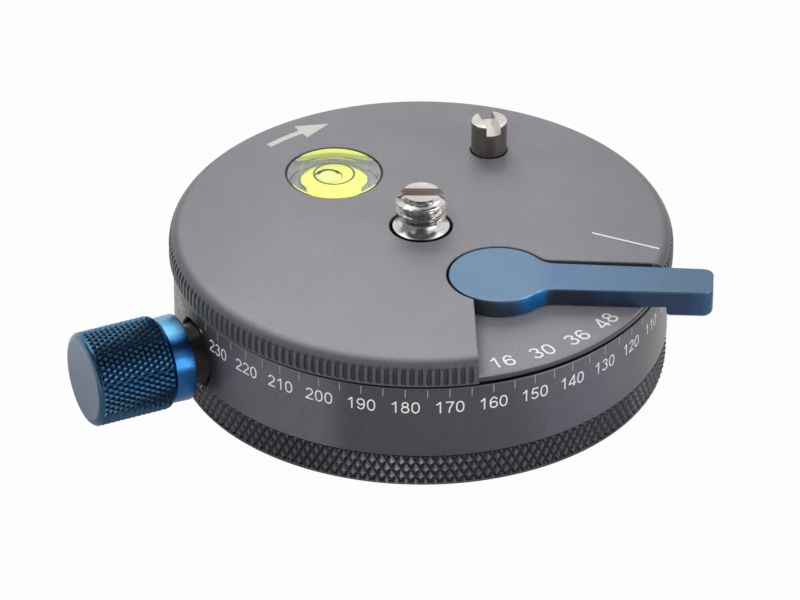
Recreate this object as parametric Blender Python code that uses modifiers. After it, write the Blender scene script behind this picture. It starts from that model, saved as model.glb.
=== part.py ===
# Panoramic tripod head: a camera platform turns on a base with a degree scale,
# a lever on the platform selects the click stops, and a side knob clamps the turn.
# The origin is on the turning axis, at the underside of the base.

import math

import bmesh
import bpy
from mathutils import Euler, Matrix

object_name = "panoramic_tripod_head"

# Clearances and cuts, in metres
seat_gap = 0.0001
running_gap = 0.0003
overrun = 0.001
merge_distance = 0.000001

# Base: a foot and a scale ring of the same radius
disc_radius = 0.031
foot_height = 0.0043
floor_thickness = 0.003
foot_edge = 0.00015
ring_height = 0.0102
ring_wall = 0.0042
ring_edge = 0.0002
rim_ledge = 0.0002

# Camera platform
plate_overhang = 0.0005
plate_gap = 0.0005
rim_thickness = 0.00305
spigot_depth = 0.0021
plate_fillet = 0.0018
plate_blind_depth = 0.0023

# Lever pocket in the platform
lever_place_angle = -49.797
pocket_floor_thickness = 0.00055
pocket_hub_gap = 0.00035
pocket_back_gap = 0.0006
pocket_side_angle = 241.4
pocket_side_heading = -87.8
pocket_corner_radius = 0.0024

# Selector lever and what it turns
lever_angle = -3.0
lever_hub_radius = 0.00615
lever_gap = 0.00015
lever_root_half_width = 0.00305
lever_tip_half_width = 0.00275
lever_fillet = 0.003
lever_corner = 0.0013
hook_clearance = 0.0008
hook_length = 0.0053
hook_drop = 0.0014
shaft_share = 0.158273
shaft_socket_depth = 0.0013
lever_bush_wall = 0.001
lever_bush_flange = 0.0006
station_angle = 21.0
arm_lead_angle = 25.0
arm_hub_share = 0.259
arm_hub_clearance = 0.000595
ball_bore_wall = 0.0007
arm_screw_share = 0.364
arm_screw_head_lap = 0.0004
arm_screw_depth = 0.0023

# Click stops: a steel disc with rings of holes, one ring for each station
click_counts = (48, 36, 30, 16)
click_hole_share = 0.0765
click_disc_clearance = 0.0004
spring_wire_radius = 0.00016
spring_turns = 4

# Brake drum pressed on the platform
drum_gap = 0.0006
drum_wall = 0.0017
drum_lip = 0.0009
drum_rise = 0.0007

# Central bearing, from the spindle outwards
spindle_radius = 0.005
spindle_wall = 0.002
inner_race_wall = 0.00175
race_space = 0.0011
outer_race_wall = 0.0018
race_shoulder = 0.0011
ball_radius = 0.0011
ball_count = 8
cage_wall = 0.0006
column_wall = 0.00095
column_lip = 0.0004
housing_foot_width = 0.0028
flange_lap = 0.0002
clip_thickness = 0.0006
clip_width = 0.0012
clip_groove_depth = 0.0004
disc_nut_wall = 0.0016

# Shares of the height inside, from the floor to the underside of the platform
housing_foot_share = 0.36364
race_height_share = 0.32323
spindle_flange_share = 0.14141
spindle_tail_share = 0.10101
socket_flange_share = 0.24242
arm_thickness_share = 0.18182
arm_screw_head_share = 0.08081
click_disc_share = 0.08081
click_ball_share = 0.10101
disc_nut_share = 0.12121

# Tripod socket with a coarse three-eighths thread, at its inner diameter
socket_radius = 0.004
socket_mouth_radius = 0.0048
socket_wall = 0.00265
socket_flange = 0.00155

# Camera screw with a quarter-inch thread
thread_radius = 0.003175
thread_length = 0.0035
screw_rise = 0.00485
screw_top_radius = 0.0023
neck_radius = 0.0025
screw_foot_radius = 0.00355
screw_hole_gap = 0.00043
screw_slot_width = 0.0017
screw_slot_depth = 0.0013
screw_flange_radius = 0.0052
screw_flange_height = 0.0012

# Pin that stops the camera from twisting
pin_place_angle = 64.889
pin_clearance = 0.000925
pin_radius = 0.00226
pin_rise = 0.0043
pin_root = 0.0039
pin_edge = 0.00025
pin_hole_gap = 0.00019
pin_slot_width = 0.0017
pin_slot_depth = 0.0014
pin_slot_angle = -69.0
pin_bush_wall = 0.00095
pin_bush_floor = 0.0005

# Round level
level_place_share = 0.53084
level_place_angle = 131.362
level_radius = 0.00595
level_hole_gap = 0.00025
level_depth = 0.0044
level_window = 0.0012
level_wall = 0.00145
level_base_thickness = 0.0006

# Side clamp
clamp_angle = 205.1
clamp_lift = 0.0015
spot_face_radius = 0.0042
spot_face_depth = 0.0014
gland_radius = 0.00355
gland_length = 0.0029
gland_wall = 0.0009
clamp_screw_radius = 0.002
clamp_shoe_inset = 0.0011
clamp_shoe_gap = 0.0004
knob_clearance = 0.002
collar_radius = 0.00545
collar_length = 0.0032
grip_radius = 0.006
grip_length = 0.0096
grip_edge = 0.0008
knob_groove_width = 0.0004
knob_groove_depth = 0.0007
knob_end_wall = 0.0036

# Countersunk screws: head radius, head height, shank radius, length, depth below the face
foot_screw = (0.0018, 0.0009, 0.00095, 0.0085, 0.0002)
housing_screw_height = (0.0008, 0.0055, 0.0002)
housing_screw_shares = (0.65, 0.35)
hub_screw = (0.0015, 0.0007, 0.0008, 0.0032, 0.0001)
hex_socket_share = 0.45
hex_depth_share = 0.8
foot_screw_count = 4
housing_screw_count = 3
hub_screw_count = 3
foot_screw_start = 45.0
hub_screw_start = 40.0

# Sides of the round shapes
disc_sides = 64
ring_sides = 40
part_sides = 32
small_sides = 12
click_hole_sides = 4
arc_steps = 4
spring_sides = 8
reach_steps = 2000
flat_angle = 0.05
sharp_angle = 30.0

# Heights that follow from the sizes above
ring_top = foot_height + ring_height
plate_rim_bottom = ring_top + plate_gap
plate_top = plate_rim_bottom + rim_thickness
plate_bottom = plate_rim_bottom - spigot_depth
pocket_floor = plate_rim_bottom + pocket_floor_thickness
blind_top = plate_bottom + plate_blind_depth
inner_height = plate_bottom - floor_thickness
housing_foot_height = inner_height * housing_foot_share
race_height = inner_height * race_height_share
spindle_flange_thickness = inner_height * spindle_flange_share
spindle_tail = inner_height * spindle_tail_share
socket_flange_height = inner_height * socket_flange_share
arm_thickness = inner_height * arm_thickness_share
arm_screw_head_height = inner_height * arm_screw_head_share
click_disc_thickness = inner_height * click_disc_share
click_ball_radius = inner_height * click_ball_share
disc_nut_height = inner_height * disc_nut_share
clamp_height = grip_radius + clamp_lift
flange_bottom = plate_bottom - spindle_flange_thickness
housing_top = flange_bottom - running_gap
race_top = housing_top - column_lip
race_bottom = race_top - race_height
spindle_bottom = race_bottom - spindle_tail
shoulder_height = floor_thickness + housing_foot_height
click_disc_top = shoulder_height + click_disc_thickness
lever_bottom = pocket_floor + lever_gap
shaft_top = lever_bottom + shaft_socket_depth
bush_bottom = plate_bottom - lever_bush_flange
arm_top = bush_bottom - 2 * running_gap
arm_bottom = arm_top - arm_thickness
drum_bottom = foot_height + drum_rise
screw_top = plate_top + screw_rise
pin_top = plate_top + pin_rise
pin_bottom = plate_top - pin_root
pin_bush_bottom = pin_bottom - pin_rise - seat_gap - pin_bush_floor

# Radii and distances that follow
plate_radius = disc_radius + plate_overhang
spot_face_start = disc_radius - spot_face_depth
knob_start = disc_radius + knob_clearance
ring_bore = disc_radius - ring_wall
drum_radius = ring_bore - drum_gap
drum_bore = drum_radius - drum_wall
spigot_radius = drum_radius - drum_lip - seat_gap
click_disc_radius = drum_bore - click_disc_clearance
spindle_bore = spindle_radius - spindle_wall
clip_radius = spindle_radius + clip_width
inner_race_radius = spindle_radius + inner_race_wall
outer_race_bore = inner_race_radius + race_space
outer_race_radius = outer_race_bore + outer_race_wall
column_radius = outer_race_radius + column_wall
housing_radius = column_radius + housing_foot_width
spindle_flange_radius = column_radius + flange_lap
disc_nut_radius = column_radius + disc_nut_wall
socket_body_radius = socket_radius + socket_wall
socket_flange_radius = socket_body_radius + socket_flange
housing_bore = socket_flange_radius + 2 * seat_gap
race_seat = outer_race_radius + seat_gap / 2
race_pitch_radius = (inner_race_radius + outer_race_bore) / 2
groove_radius = ball_radius + seat_gap
selector_room = drum_bore - column_radius
shaft_radius = selector_room * shaft_share
arm_hub_radius = selector_room * arm_hub_share
arm_screw_radius = shaft_radius * arm_screw_share
arm_screw_head_radius = shaft_radius + arm_screw_head_lap
screw_hole_radius = screw_foot_radius + screw_hole_gap
bush_outer_radius = shaft_radius + seat_gap + lever_bush_wall
pin_hole_radius = pin_radius + pin_hole_gap
pin_bush_radius = pin_radius + seat_gap + pin_bush_wall
ball_bore = click_ball_radius + seat_gap
ball_housing_radius = ball_bore + ball_bore_wall
foot_screw_radius = ring_bore + ring_wall / 2
housing_screw_radius = (housing_radius + socket_flange_radius) / 2
housing_screw_room = (housing_radius - socket_flange_radius) / 2
hub_screw_radius = (spindle_flange_radius + spindle_radius + race_shoulder) / 2
gland_body_radius = clamp_screw_radius + seat_gap + gland_wall
level_hole_radius = level_radius + level_hole_gap

# Finishes: linear colour, roughness, metallic
plate_grey = ((0.27, 0.27, 0.29), 0.45, 0.9)
ring_grey = ((0.075, 0.075, 0.085), 0.4, 0.9)
foot_black = ((0.02, 0.02, 0.022), 0.4, 0.9)
lever_blue = ((0.012, 0.09, 0.26), 0.35, 0.9)
bright_steel = ((0.6, 0.6, 0.6), 0.2, 1.0)
dark_steel = ((0.16, 0.16, 0.17), 0.35, 1.0)
brass = ((0.7, 0.48, 0.18), 0.3, 1.0)
clear_resin = ((0.75, 0.78, 0.76), 0.05, 0.0)
level_green = ((0.75, 0.9, 0.08), 0.1, 0.0)
level_white = ((0.8, 0.8, 0.78), 0.5, 0.0)


for old in list(bpy.data.objects):
    bpy.data.objects.remove(old)

parts = bpy.data.collections.new(object_name)
cutters = bpy.data.collections.new("cutters")
bpy.context.scene.collection.children.link(parts)
bpy.context.scene.collection.children.link(cutters)


# Small helpers

def polar(radius, degrees, centre=(0.0, 0.0)):
    angle = math.radians(degrees)
    return (centre[0] + radius * math.cos(angle), centre[1] + radius * math.sin(angle))


def arc(centre, radius, start, end, steps=arc_steps):
    return [polar(radius, start + (end - start) * i / steps, centre) for i in range(steps + 1)]


def principled(name, finish):
    colour, roughness, metallic = finish
    surface = bpy.data.materials.new(name)
    surface.use_nodes = True
    shader = surface.node_tree.nodes["Principled BSDF"]
    shader.inputs["Base Color"].default_value = (*colour, 1.0)
    shader.inputs["Roughness"].default_value = roughness
    shader.inputs["Metallic"].default_value = metallic
    surface.diffuse_color = (*colour, 1.0)
    return surface


def place_mesh(name, mesh, finish=None, place=(0.0, 0.0, 0.0), parent=None):
    piece = bpy.data.objects.new(name, mesh)
    piece.location = place
    if parent:
        piece.parent = parent
    if finish:
        mesh.materials.clear()
        mesh.materials.append(principled(name, finish))
        parts.objects.link(piece)
    else:
        cutters.objects.link(piece)
        piece.hide_render = True
        piece.display_type = "WIRE"
    return piece


def empty(name, place, rotation=(0.0, 0.0, 0.0), parent=None):
    axis = bpy.data.objects.new(name, None)
    axis.location = place
    axis.rotation_euler = Euler([math.radians(angle) for angle in rotation])
    axis.parent = parent
    parts.objects.link(axis)
    bpy.context.view_layer.update()
    return axis


def turned(name, profile, sides, finish=None, place=(0.0, 0.0, 0.0), parent=None, loop=False):
    mesh = bpy.data.meshes.new(name)
    edges = [(i, i + 1) for i in range(len(profile) - 1)]
    if loop:
        edges.append((len(profile) - 1, 0))
    mesh.from_pydata([(radius, 0.0, height) for radius, height in profile], edges, [])
    piece = place_mesh(name, mesh, finish, place, parent)
    screw = piece.modifiers.new("Turn", "SCREW")
    screw.steps = sides
    screw.render_steps = sides
    screw.use_merge_vertices = True
    screw.merge_threshold = merge_distance
    if not loop:
        flat_ends = piece.modifiers.new("Flat ends", "DECIMATE")
        flat_ends.decimate_type = "DISSOLVE"
        flat_ends.angle_limit = math.radians(flat_angle)
    return piece


def rod(name, radius, bottom, top, sides, finish=None, place=(0.0, 0.0), parent=None):
    profile = [(0.0, top), (radius, top), (radius, bottom), (0.0, bottom)]
    return turned(name, profile, sides, finish, (*place, 0.0), parent)


def tube(name, bore, radius, bottom, top, sides, finish=None, place=(0.0, 0.0), parent=None):
    profile = [(radius, top), (radius, bottom), (bore, bottom), (bore, top)]
    return turned(name, profile, sides, finish, (*place, 0.0), parent, loop=True)


def outline_solid(name, loops, bottom, top, finish=None, place=(0.0, 0.0), parent=None):
    outline = bpy.data.curves.new(name, "CURVE")
    outline.dimensions = "2D"
    outline.fill_mode = "BOTH"
    outline.extrude = (top - bottom) / 2
    for points in loops:
        spline = outline.splines.new("POLY")
        spline.points.add(len(points) - 1)
        spline.use_cyclic_u = True
        for point, (x, y) in zip(spline.points, points):
            point.co = (x, y, 0.0, 1.0)
    drawn = bpy.data.objects.new(name, outline)
    parts.objects.link(drawn)
    graph = bpy.context.evaluated_depsgraph_get()
    mesh = bpy.data.meshes.new_from_object(drawn.evaluated_get(graph))
    bpy.data.objects.remove(drawn)
    shape = bmesh.new()
    shape.from_mesh(mesh)
    bmesh.ops.remove_doubles(shape, verts=shape.verts, dist=merge_distance)
    bmesh.ops.translate(shape, verts=shape.verts, vec=(0.0, 0.0, (top + bottom) / 2))
    bmesh.ops.recalc_face_normals(shape, faces=shape.faces)
    shape.to_mesh(mesh)
    shape.free()
    return place_mesh(name, mesh, finish, (*place, 0.0), parent)


def block(name, low, high, rotation=0.0, place=(0.0, 0.0, 0.0)):
    shape = bmesh.new()
    bmesh.ops.create_cube(shape, size=1.0)
    size = [b - a for a, b in zip(low, high)]
    middle = [(a + b) / 2 for a, b in zip(low, high)]
    bmesh.ops.scale(shape, verts=shape.verts, vec=size)
    bmesh.ops.translate(shape, verts=shape.verts, vec=middle)
    bmesh.ops.rotate(shape, verts=shape.verts, matrix=Matrix.Rotation(math.radians(rotation), 3, "Z"))
    mesh = bpy.data.meshes.new(name)
    shape.to_mesh(mesh)
    shape.free()
    return place_mesh(name, mesh, None, place)


def ball(name, radius, place, finish, parent=None, fineness=2):
    shape = bmesh.new()
    bmesh.ops.create_icosphere(shape, subdivisions=fineness, radius=radius)
    mesh = bpy.data.meshes.new(name)
    shape.to_mesh(mesh)
    shape.free()
    return place_mesh(name, mesh, finish, place, parent)


def combine(piece, tool, operation="DIFFERENCE"):
    change = piece.modifiers.new(tool.name, "BOOLEAN")
    change.operation = operation
    change.object = tool
    change.solver = "EXACT"


def finish_shapes():
    bpy.context.view_layer.update()
    graph = bpy.context.evaluated_depsgraph_get()
    made = {}
    for piece in parts.objects:
        if piece.type == "MESH" and piece.modifiers:
            made[piece] = bpy.data.meshes.new_from_object(piece.evaluated_get(graph))
    for piece, mesh in made.items():
        piece.modifiers.clear()
        piece.data = mesh
    for piece in parts.objects:
        if piece.type == "MESH":
            piece.data.shade_smooth()
            piece.data.set_sharp_from_angle(angle=math.radians(sharp_angle))


# Countersunk screws, all driven in from below

def screw_profile(size, gap=0.0):
    head_radius, head_height, shank_radius, length, sink = size
    return [
        (0.0, length + gap),
        (shank_radius + gap, length + gap),
        (shank_radius + gap, sink + head_height),
        (head_radius + gap, sink),
    ]


def screw_circle(prefix, size, count, radius, start, face_height, cut_pieces, parent=None):
    head_radius, head_height, shank_radius, length, sink = size
    solid = screw_profile(size) + [(0.0, sink)]
    mouth = [(head_radius + seat_gap, sink - overrun), (0.0, sink - overrun)]
    for i in range(count):
        place = (*polar(radius, start + 360.0 * i / count), face_height)
        screw = turned(f"{prefix}_{i + 1}", solid, small_sides, dark_steel, place)
        hexagon = turned(
            f"{prefix}_{i + 1}_hex",
            [
                (0.0, sink + head_height * hex_depth_share),
                (head_radius * hex_socket_share, sink + head_height * hex_depth_share),
                (head_radius * hex_socket_share, sink - overrun),
                (0.0, sink - overrun),
            ],
            6,
            None,
            place,
        )
        combine(screw, hexagon)
        hole = turned(
            f"{prefix}_{i + 1}_hole",
            screw_profile(size, seat_gap) + mouth,
            small_sides,
            None,
            place,
        )
        for piece in cut_pieces:
            combine(piece, hole)
        if parent:
            screw.parent = parent


# Places on the platform, and the axes of the moving bodies

lever_place = polar(column_radius + arm_hub_radius + arm_hub_clearance, lever_place_angle)
pin_place = polar(drum_bore - pin_bush_radius - pin_clearance, pin_place_angle)
level_place = polar(plate_radius * level_place_share, level_place_angle)

rotor_axis = empty("rotor_axis", (0.0, 0.0, 0.0))
selector_axis = empty("selector_axis", (*lever_place, 0.0), parent=rotor_axis)
clamp_axis = empty("clamp_axis", (0.0, 0.0, clamp_height), (0.0, 90.0, clamp_angle))


# Base body

def make_base_disc():
    profile = [
        (disc_radius, foot_height),
        (disc_radius, foot_edge),
        (disc_radius - foot_edge, 0.0),
        (socket_body_radius + seat_gap, 0.0),
        (socket_body_radius + seat_gap, floor_thickness),
        (ring_bore - rim_ledge, floor_thickness),
        (ring_bore - rim_ledge, foot_height),
    ]
    base = turned("base_disc", profile, disc_sides, foot_black, loop=True)
    combine(base, make_spot_face_cutter("foot_spot_face_cut"))
    return base


def make_spot_face_cutter(name):
    # The flat round recess that the clamp knob stands in front of.
    far = disc_radius + overrun
    return rod(name, spot_face_radius, spot_face_start, far, ring_sides, parent=clamp_axis)


def make_scale_ring():
    profile = [
        (disc_radius - ring_edge, ring_top),
        (disc_radius, ring_top - ring_edge),
        (disc_radius, foot_height),
        (ring_bore, foot_height),
        (ring_bore, ring_top),
    ]
    ring = turned("scale_ring", profile, disc_sides, ring_grey, loop=True)
    near = ring_bore - overrun
    far = disc_radius + overrun
    hole_radius = gland_body_radius + seat_gap
    hole = rod("gland_hole_cut", hole_radius, near, far, part_sides, parent=clamp_axis)
    combine(ring, make_spot_face_cutter("ring_spot_face_cut"))
    combine(ring, hole)
    return ring


def make_tripod_socket():
    flange_top = floor_thickness + socket_flange_height
    mouth = socket_mouth_radius - socket_radius
    profile = [
        (socket_flange_radius, flange_top),
        (socket_flange_radius, floor_thickness),
        (socket_body_radius, floor_thickness),
        (socket_body_radius, seat_gap),
        (socket_mouth_radius, seat_gap),
        (socket_radius, seat_gap + mouth),
        (socket_radius, flange_top),
    ]
    return turned("tripod_socket", profile, part_sides, bright_steel, loop=True)


def make_bearing_housing():
    profile = [
        (column_radius, housing_top),
        (column_radius, shoulder_height),
        (housing_radius, shoulder_height),
        (housing_radius, floor_thickness),
        (housing_bore, floor_thickness),
        (housing_bore, race_bottom),
        (race_seat, race_bottom),
        (race_seat, housing_top),
    ]
    return turned("bearing_housing", profile, part_sides, ring_grey, loop=True)


def ball_groove(surface_radius, middle):
    # The round groove in a race, from its upper edge to its lower edge.
    side = 0.0 if surface_radius > race_pitch_radius else 180.0
    half = math.degrees(math.acos(abs(surface_radius - race_pitch_radius) / groove_radius))
    centre = (race_pitch_radius, middle)
    if side:
        return arc(centre, groove_radius, side - half, side + half)
    return arc(centre, groove_radius, side + half, side - half)


def make_races():
    middle = (race_top + race_bottom) / 2
    outer = [(outer_race_radius, race_top), (outer_race_radius, race_bottom)]
    outer.append((outer_race_bore, race_bottom))
    outer += reversed(ball_groove(outer_race_bore, middle))
    outer.append((outer_race_bore, race_top))
    turned("bearing_outer_race", outer, part_sides, bright_steel, loop=True)
    inner = [(inner_race_radius, race_top)]
    inner += ball_groove(inner_race_radius, middle)
    inner += [(inner_race_radius, race_bottom), (spindle_radius + seat_gap / 2, race_bottom)]
    inner.append((spindle_radius + seat_gap / 2, race_top))
    turned("bearing_inner_race", inner, part_sides, bright_steel, parent=rotor_axis, loop=True)


def make_cage():
    cage_axis = empty("cage_axis", (0.0, 0.0, 0.0))
    middle = (race_top + race_bottom) / 2
    low = race_bottom + seat_gap
    high = race_top - seat_gap
    inside = race_pitch_radius - cage_wall / 2
    outside = race_pitch_radius + cage_wall / 2
    cage = tube("bearing_cage", inside, outside, low, high, part_sides, brass, parent=cage_axis)
    for i in range(ball_count):
        degrees = 360.0 * (i + 0.5) / ball_count
        place = (*polar(race_pitch_radius, degrees), middle)
        ball(f"bearing_ball_{i + 1}", ball_radius, place, bright_steel, cage_axis)
        pocket = rod(
            f"ball_pocket_{i + 1}",
            ball_radius + seat_gap,
            inside - overrun,
            outside + overrun,
            small_sides,
        )
        pocket.location = (0.0, 0.0, middle)
        pocket.rotation_euler = Euler((0.0, math.radians(90.0), math.radians(degrees)))
        combine(cage, pocket)


def make_click_disc():
    # Each ring has one hole where the ball stands when the lever is at that station.
    loops = [
        [polar(click_disc_radius, 360.0 * i / disc_sides) for i in range(disc_sides)],
        [polar(column_radius + seat_gap, 360.0 * i / part_sides) for i in range(part_sides)],
    ]
    hole_radius = arm_reach() * click_hole_share
    corners = range(click_hole_sides)
    for station, count in enumerate(click_counts, start=1):
        x, y = ball_place(station)
        ring_radius = math.hypot(x, y)
        first = math.degrees(math.atan2(y, x))
        for i in range(count):
            turn = first + 360.0 * i / count
            centre = polar(ring_radius, turn)
            angles = [turn + 360.0 * corner / click_hole_sides for corner in corners]
            loops.append([polar(hole_radius, angle, centre) for angle in angles])
    disc = outline_solid("click_disc", loops, shoulder_height, click_disc_top, bright_steel)
    tube(
        "click_disc_nut",
        column_radius + seat_gap,
        disc_nut_radius,
        click_disc_top,
        click_disc_top + disc_nut_height,
        part_sides,
        dark_steel,
    )
    return disc


# Rotor body

def make_top_plate():
    profile = [(0.0, plate_top)]
    fillet_centre = (plate_radius - plate_fillet, plate_top - plate_fillet)
    profile += reversed(arc(fillet_centre, plate_fillet, 0.0, 90.0))
    profile += [
        (plate_radius, plate_rim_bottom),
        (spigot_radius, plate_rim_bottom),
        (spigot_radius, plate_bottom),
        (0.0, plate_bottom),
    ]
    plate = turned("top_plate", profile, disc_sides, plate_grey, parent=rotor_axis)
    combine(plate, make_pocket_cutter())
    above = plate_top + overrun
    below = plate_bottom - overrun
    flange_top = plate_bottom + screw_flange_height + 2 * seat_gap
    level_floor = plate_top - level_depth
    pin_bush_hole = pin_bush_radius + seat_gap
    lever_bush_hole = bush_outer_radius + seat_gap
    cuts = [
        rod("screw_hole_cut", screw_hole_radius, below, above, part_sides),
        rod("screw_flange_cut", screw_flange_radius + seat_gap, below, flange_top, part_sides),
        rod("level_hole_cut", level_hole_radius, level_floor, above, ring_sides, place=level_place),
        rod("pin_hole_cut", pin_hole_radius, below, above, part_sides, place=pin_place),
        rod("pin_bush_cut", pin_bush_hole, below, blind_top, part_sides, place=pin_place),
        rod("lever_bush_cut", lever_bush_hole, below, above, part_sides, place=lever_place),
    ]
    for cut in cuts:
        combine(plate, cut)
    return plate


def lever_point(along, across, degrees=lever_angle):
    angle = math.radians(degrees)
    x = lever_place[0] + along * math.cos(angle) - across * math.sin(angle)
    y = lever_place[1] + along * math.sin(angle) + across * math.cos(angle)
    return (x, y)


def make_pocket_cutter():
    # Round the hub, down the side wall, out past the rim and back along the rear wall to its round corner.
    recess_radius = lever_hub_radius + pocket_hub_gap
    back = lever_root_half_width + pocket_back_gap
    rise = back + pocket_corner_radius
    along = math.sqrt((recess_radius + pocket_corner_radius) ** 2 - rise**2)
    back_angle = lever_angle + math.degrees(math.atan2(rise, along))
    outline = arc(lever_place, recess_radius, back_angle, pocket_side_angle, 6 * arc_steps)
    outline.append(polar(plate_radius, pocket_side_heading, outline[-1]))
    outline.append(lever_point(plate_radius, -plate_radius))
    outline.append(lever_point(plate_radius, back))
    corner = lever_point(along, rise)
    outline += arc(corner, pocket_corner_radius, lever_angle - 90.0, back_angle - 180.0)[:-1]
    return outline_solid("pocket_cut", [outline], pocket_floor, plate_top + overrun)


def make_brake_drum():
    profile = [
        (drum_radius, plate_rim_bottom - running_gap),
        (drum_radius, drum_bottom),
        (drum_bore, drum_bottom),
        (drum_bore, plate_bottom),
        (spigot_radius + seat_gap, plate_bottom),
        (spigot_radius + seat_gap, plate_rim_bottom - running_gap),
    ]
    turned("brake_drum", profile, ring_sides, dark_steel, parent=rotor_axis, loop=True)


def make_spindle():
    clip_bottom = race_bottom - seat_gap - clip_thickness
    clip_seat_radius = spindle_radius - clip_groove_depth
    profile = [
        (spindle_flange_radius, plate_bottom),
        (spindle_flange_radius, flange_bottom),
        (spindle_radius + race_shoulder, flange_bottom),
        (spindle_radius + race_shoulder, race_top),
        (spindle_radius, race_top),
        (spindle_radius, race_bottom - seat_gap / 2),
        (clip_seat_radius, race_bottom - seat_gap / 2),
        (clip_seat_radius, clip_bottom - seat_gap / 2),
        (spindle_radius, clip_bottom - seat_gap / 2),
        (spindle_radius, spindle_bottom),
        (spindle_bore, spindle_bottom),
        (spindle_bore, plate_bottom),
    ]
    spindle = turned("rotor_spindle", profile, part_sides, bright_steel, parent=rotor_axis, loop=True)
    clip = tube(
        "spindle_clip",
        clip_seat_radius + seat_gap,
        clip_radius,
        clip_bottom,
        clip_bottom + clip_thickness,
        part_sides,
        dark_steel,
        parent=rotor_axis,
    )
    mouth = block(
        "clip_mouth_cut",
        (0.0, -clip_seat_radius / 2, clip_bottom - overrun),
        (clip_radius + overrun, clip_seat_radius / 2, clip_bottom + clip_thickness + overrun),
    )
    combine(clip, mouth)
    return spindle


def make_level():
    bottom = plate_top - level_depth + seat_gap
    top = plate_top - seat_gap / 2
    chamber = level_radius - level_wall
    profile = [
        (0.0, top),
        (level_radius, top),
        (level_radius, bottom),
        (chamber, bottom),
        (chamber, top - level_window),
        (0.0, top - level_window),
    ]
    turned("level_body", profile, ring_sides, clear_resin, (*level_place, 0.0), rotor_axis)
    base_top = bottom + level_base_thickness
    liquid_radius = chamber - seat_gap
    rod("level_base", liquid_radius, bottom, base_top, part_sides, level_white, level_place, rotor_axis)
    rod(
        "level_liquid",
        liquid_radius,
        base_top + seat_gap,
        top - level_window - seat_gap,
        part_sides,
        level_green,
        level_place,
        rotor_axis,
    )


def make_bushes():
    lever_bush = [
        (bush_outer_radius, pocket_floor - seat_gap),
        (bush_outer_radius, plate_bottom),
        (bush_outer_radius + lever_bush_flange, plate_bottom),
        (bush_outer_radius + lever_bush_flange, bush_bottom),
        (shaft_radius + seat_gap, bush_bottom),
        (shaft_radius + seat_gap, pocket_floor - seat_gap),
    ]
    turned("lever_bush", lever_bush, part_sides, brass, (*lever_place, 0.0), rotor_axis, loop=True)
    inside_floor = pin_bush_bottom + pin_bush_floor
    pin_bush = [
        (0.0, inside_floor),
        (pin_radius + seat_gap, inside_floor),
        (pin_radius + seat_gap, blind_top - seat_gap),
        (pin_bush_radius, blind_top - seat_gap),
        (pin_bush_radius, pin_bush_bottom),
        (0.0, pin_bush_bottom),
    ]
    turned("pin_bush", pin_bush, part_sides, brass, (*pin_place, 0.0), rotor_axis)


# Selector body

def arm_angle(station):
    hub_angle = math.degrees(math.atan2(lever_place[1], lever_place[0]))
    return hub_angle - arm_lead_angle - station_angle * station


def arm_reach():
    # The arm is as long as lets its ball housing clear the inside of the drum at rest.
    offset = math.hypot(*lever_place)
    track = drum_bore - ball_housing_radius - running_gap
    part = offset * math.cos(math.radians(arm_lead_angle))
    return math.sqrt(part * part - offset * offset + track * track) - part


def ball_place(station):
    return polar(arm_reach(), arm_angle(station), lever_place)


def rim_reach():
    # How far along the lever its outer edge stays over the platform.
    step = plate_radius / reach_steps
    along = 0.0
    while math.hypot(*lever_point(along, lever_tip_half_width)) < plate_radius:
        along += step
    return along


def lever_edge_fillet(slope):
    # Centre of the hollow that joins the hub to the tapering edge.
    lift = lever_root_half_width + lever_fillet * math.sqrt(1 + slope * slope)
    reach = lever_hub_radius + lever_fillet
    a = 1 + slope * slope
    b = 2 * lift * slope
    c = lift * lift - reach * reach
    x = (-b + math.sqrt(b * b - 4 * a * c)) / (2 * a)
    return (x, lift + slope * x)


def half_lever_outline(tip):
    # From the tip's middle to the far side of the hub, along the upper edge.
    slope = (lever_tip_half_width - lever_root_half_width) / tip
    lean = math.degrees(math.atan(slope))
    corner = (tip - lever_corner, lever_tip_half_width - lever_corner)
    points = arc(corner, lever_corner, 0.0, 90.0 + lean)
    centre = lever_edge_fillet(slope)
    to_hub = math.degrees(math.atan2(-centre[1], -centre[0]))
    points += arc(centre, lever_fillet, -90.0 + lean, to_hub)
    hub_start = math.degrees(math.atan2(centre[1], centre[0]))
    hub_steps = 3 * arc_steps
    points += arc((0.0, 0.0), lever_hub_radius, hub_start, 180.0, hub_steps)[1:]
    return points


def mirrored_outline(half):
    other = [(x, -y) for x, y in reversed(half) if abs(y) > merge_distance]
    return half + other


def turned_outline(points):
    return [lever_point(x, y) for x, y in points]


def local_outline(points):
    return [(x - lever_place[0], y - lever_place[1]) for x, y in points]


def make_selector_lever():
    hook_start = rim_reach() + hook_clearance
    tip = hook_start + hook_length
    outline = local_outline(turned_outline(mirrored_outline(half_lever_outline(tip))))
    lever = outline_solid(
        "selector_lever",
        [outline],
        lever_bottom,
        plate_top,
        lever_blue,
        parent=selector_axis,
    )
    corner = (tip - lever_corner, lever_tip_half_width - lever_corner)
    half_hook = arc(corner, lever_corner, 0.0, 90.0)
    half_hook.append((hook_start, lever_tip_half_width))
    hook = outline_solid(
        "hook_add",
        [turned_outline(mirrored_outline(half_hook))],
        lever_bottom - hook_drop,
        lever_bottom + (plate_top - lever_bottom) / 2,
    )
    combine(lever, hook, "UNION")
    socket = rod(
        "shaft_socket_cut",
        shaft_radius + seat_gap,
        lever_bottom - overrun,
        shaft_top + seat_gap,
        part_sides,
        place=lever_place,
    )
    combine(lever, socket)


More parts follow.
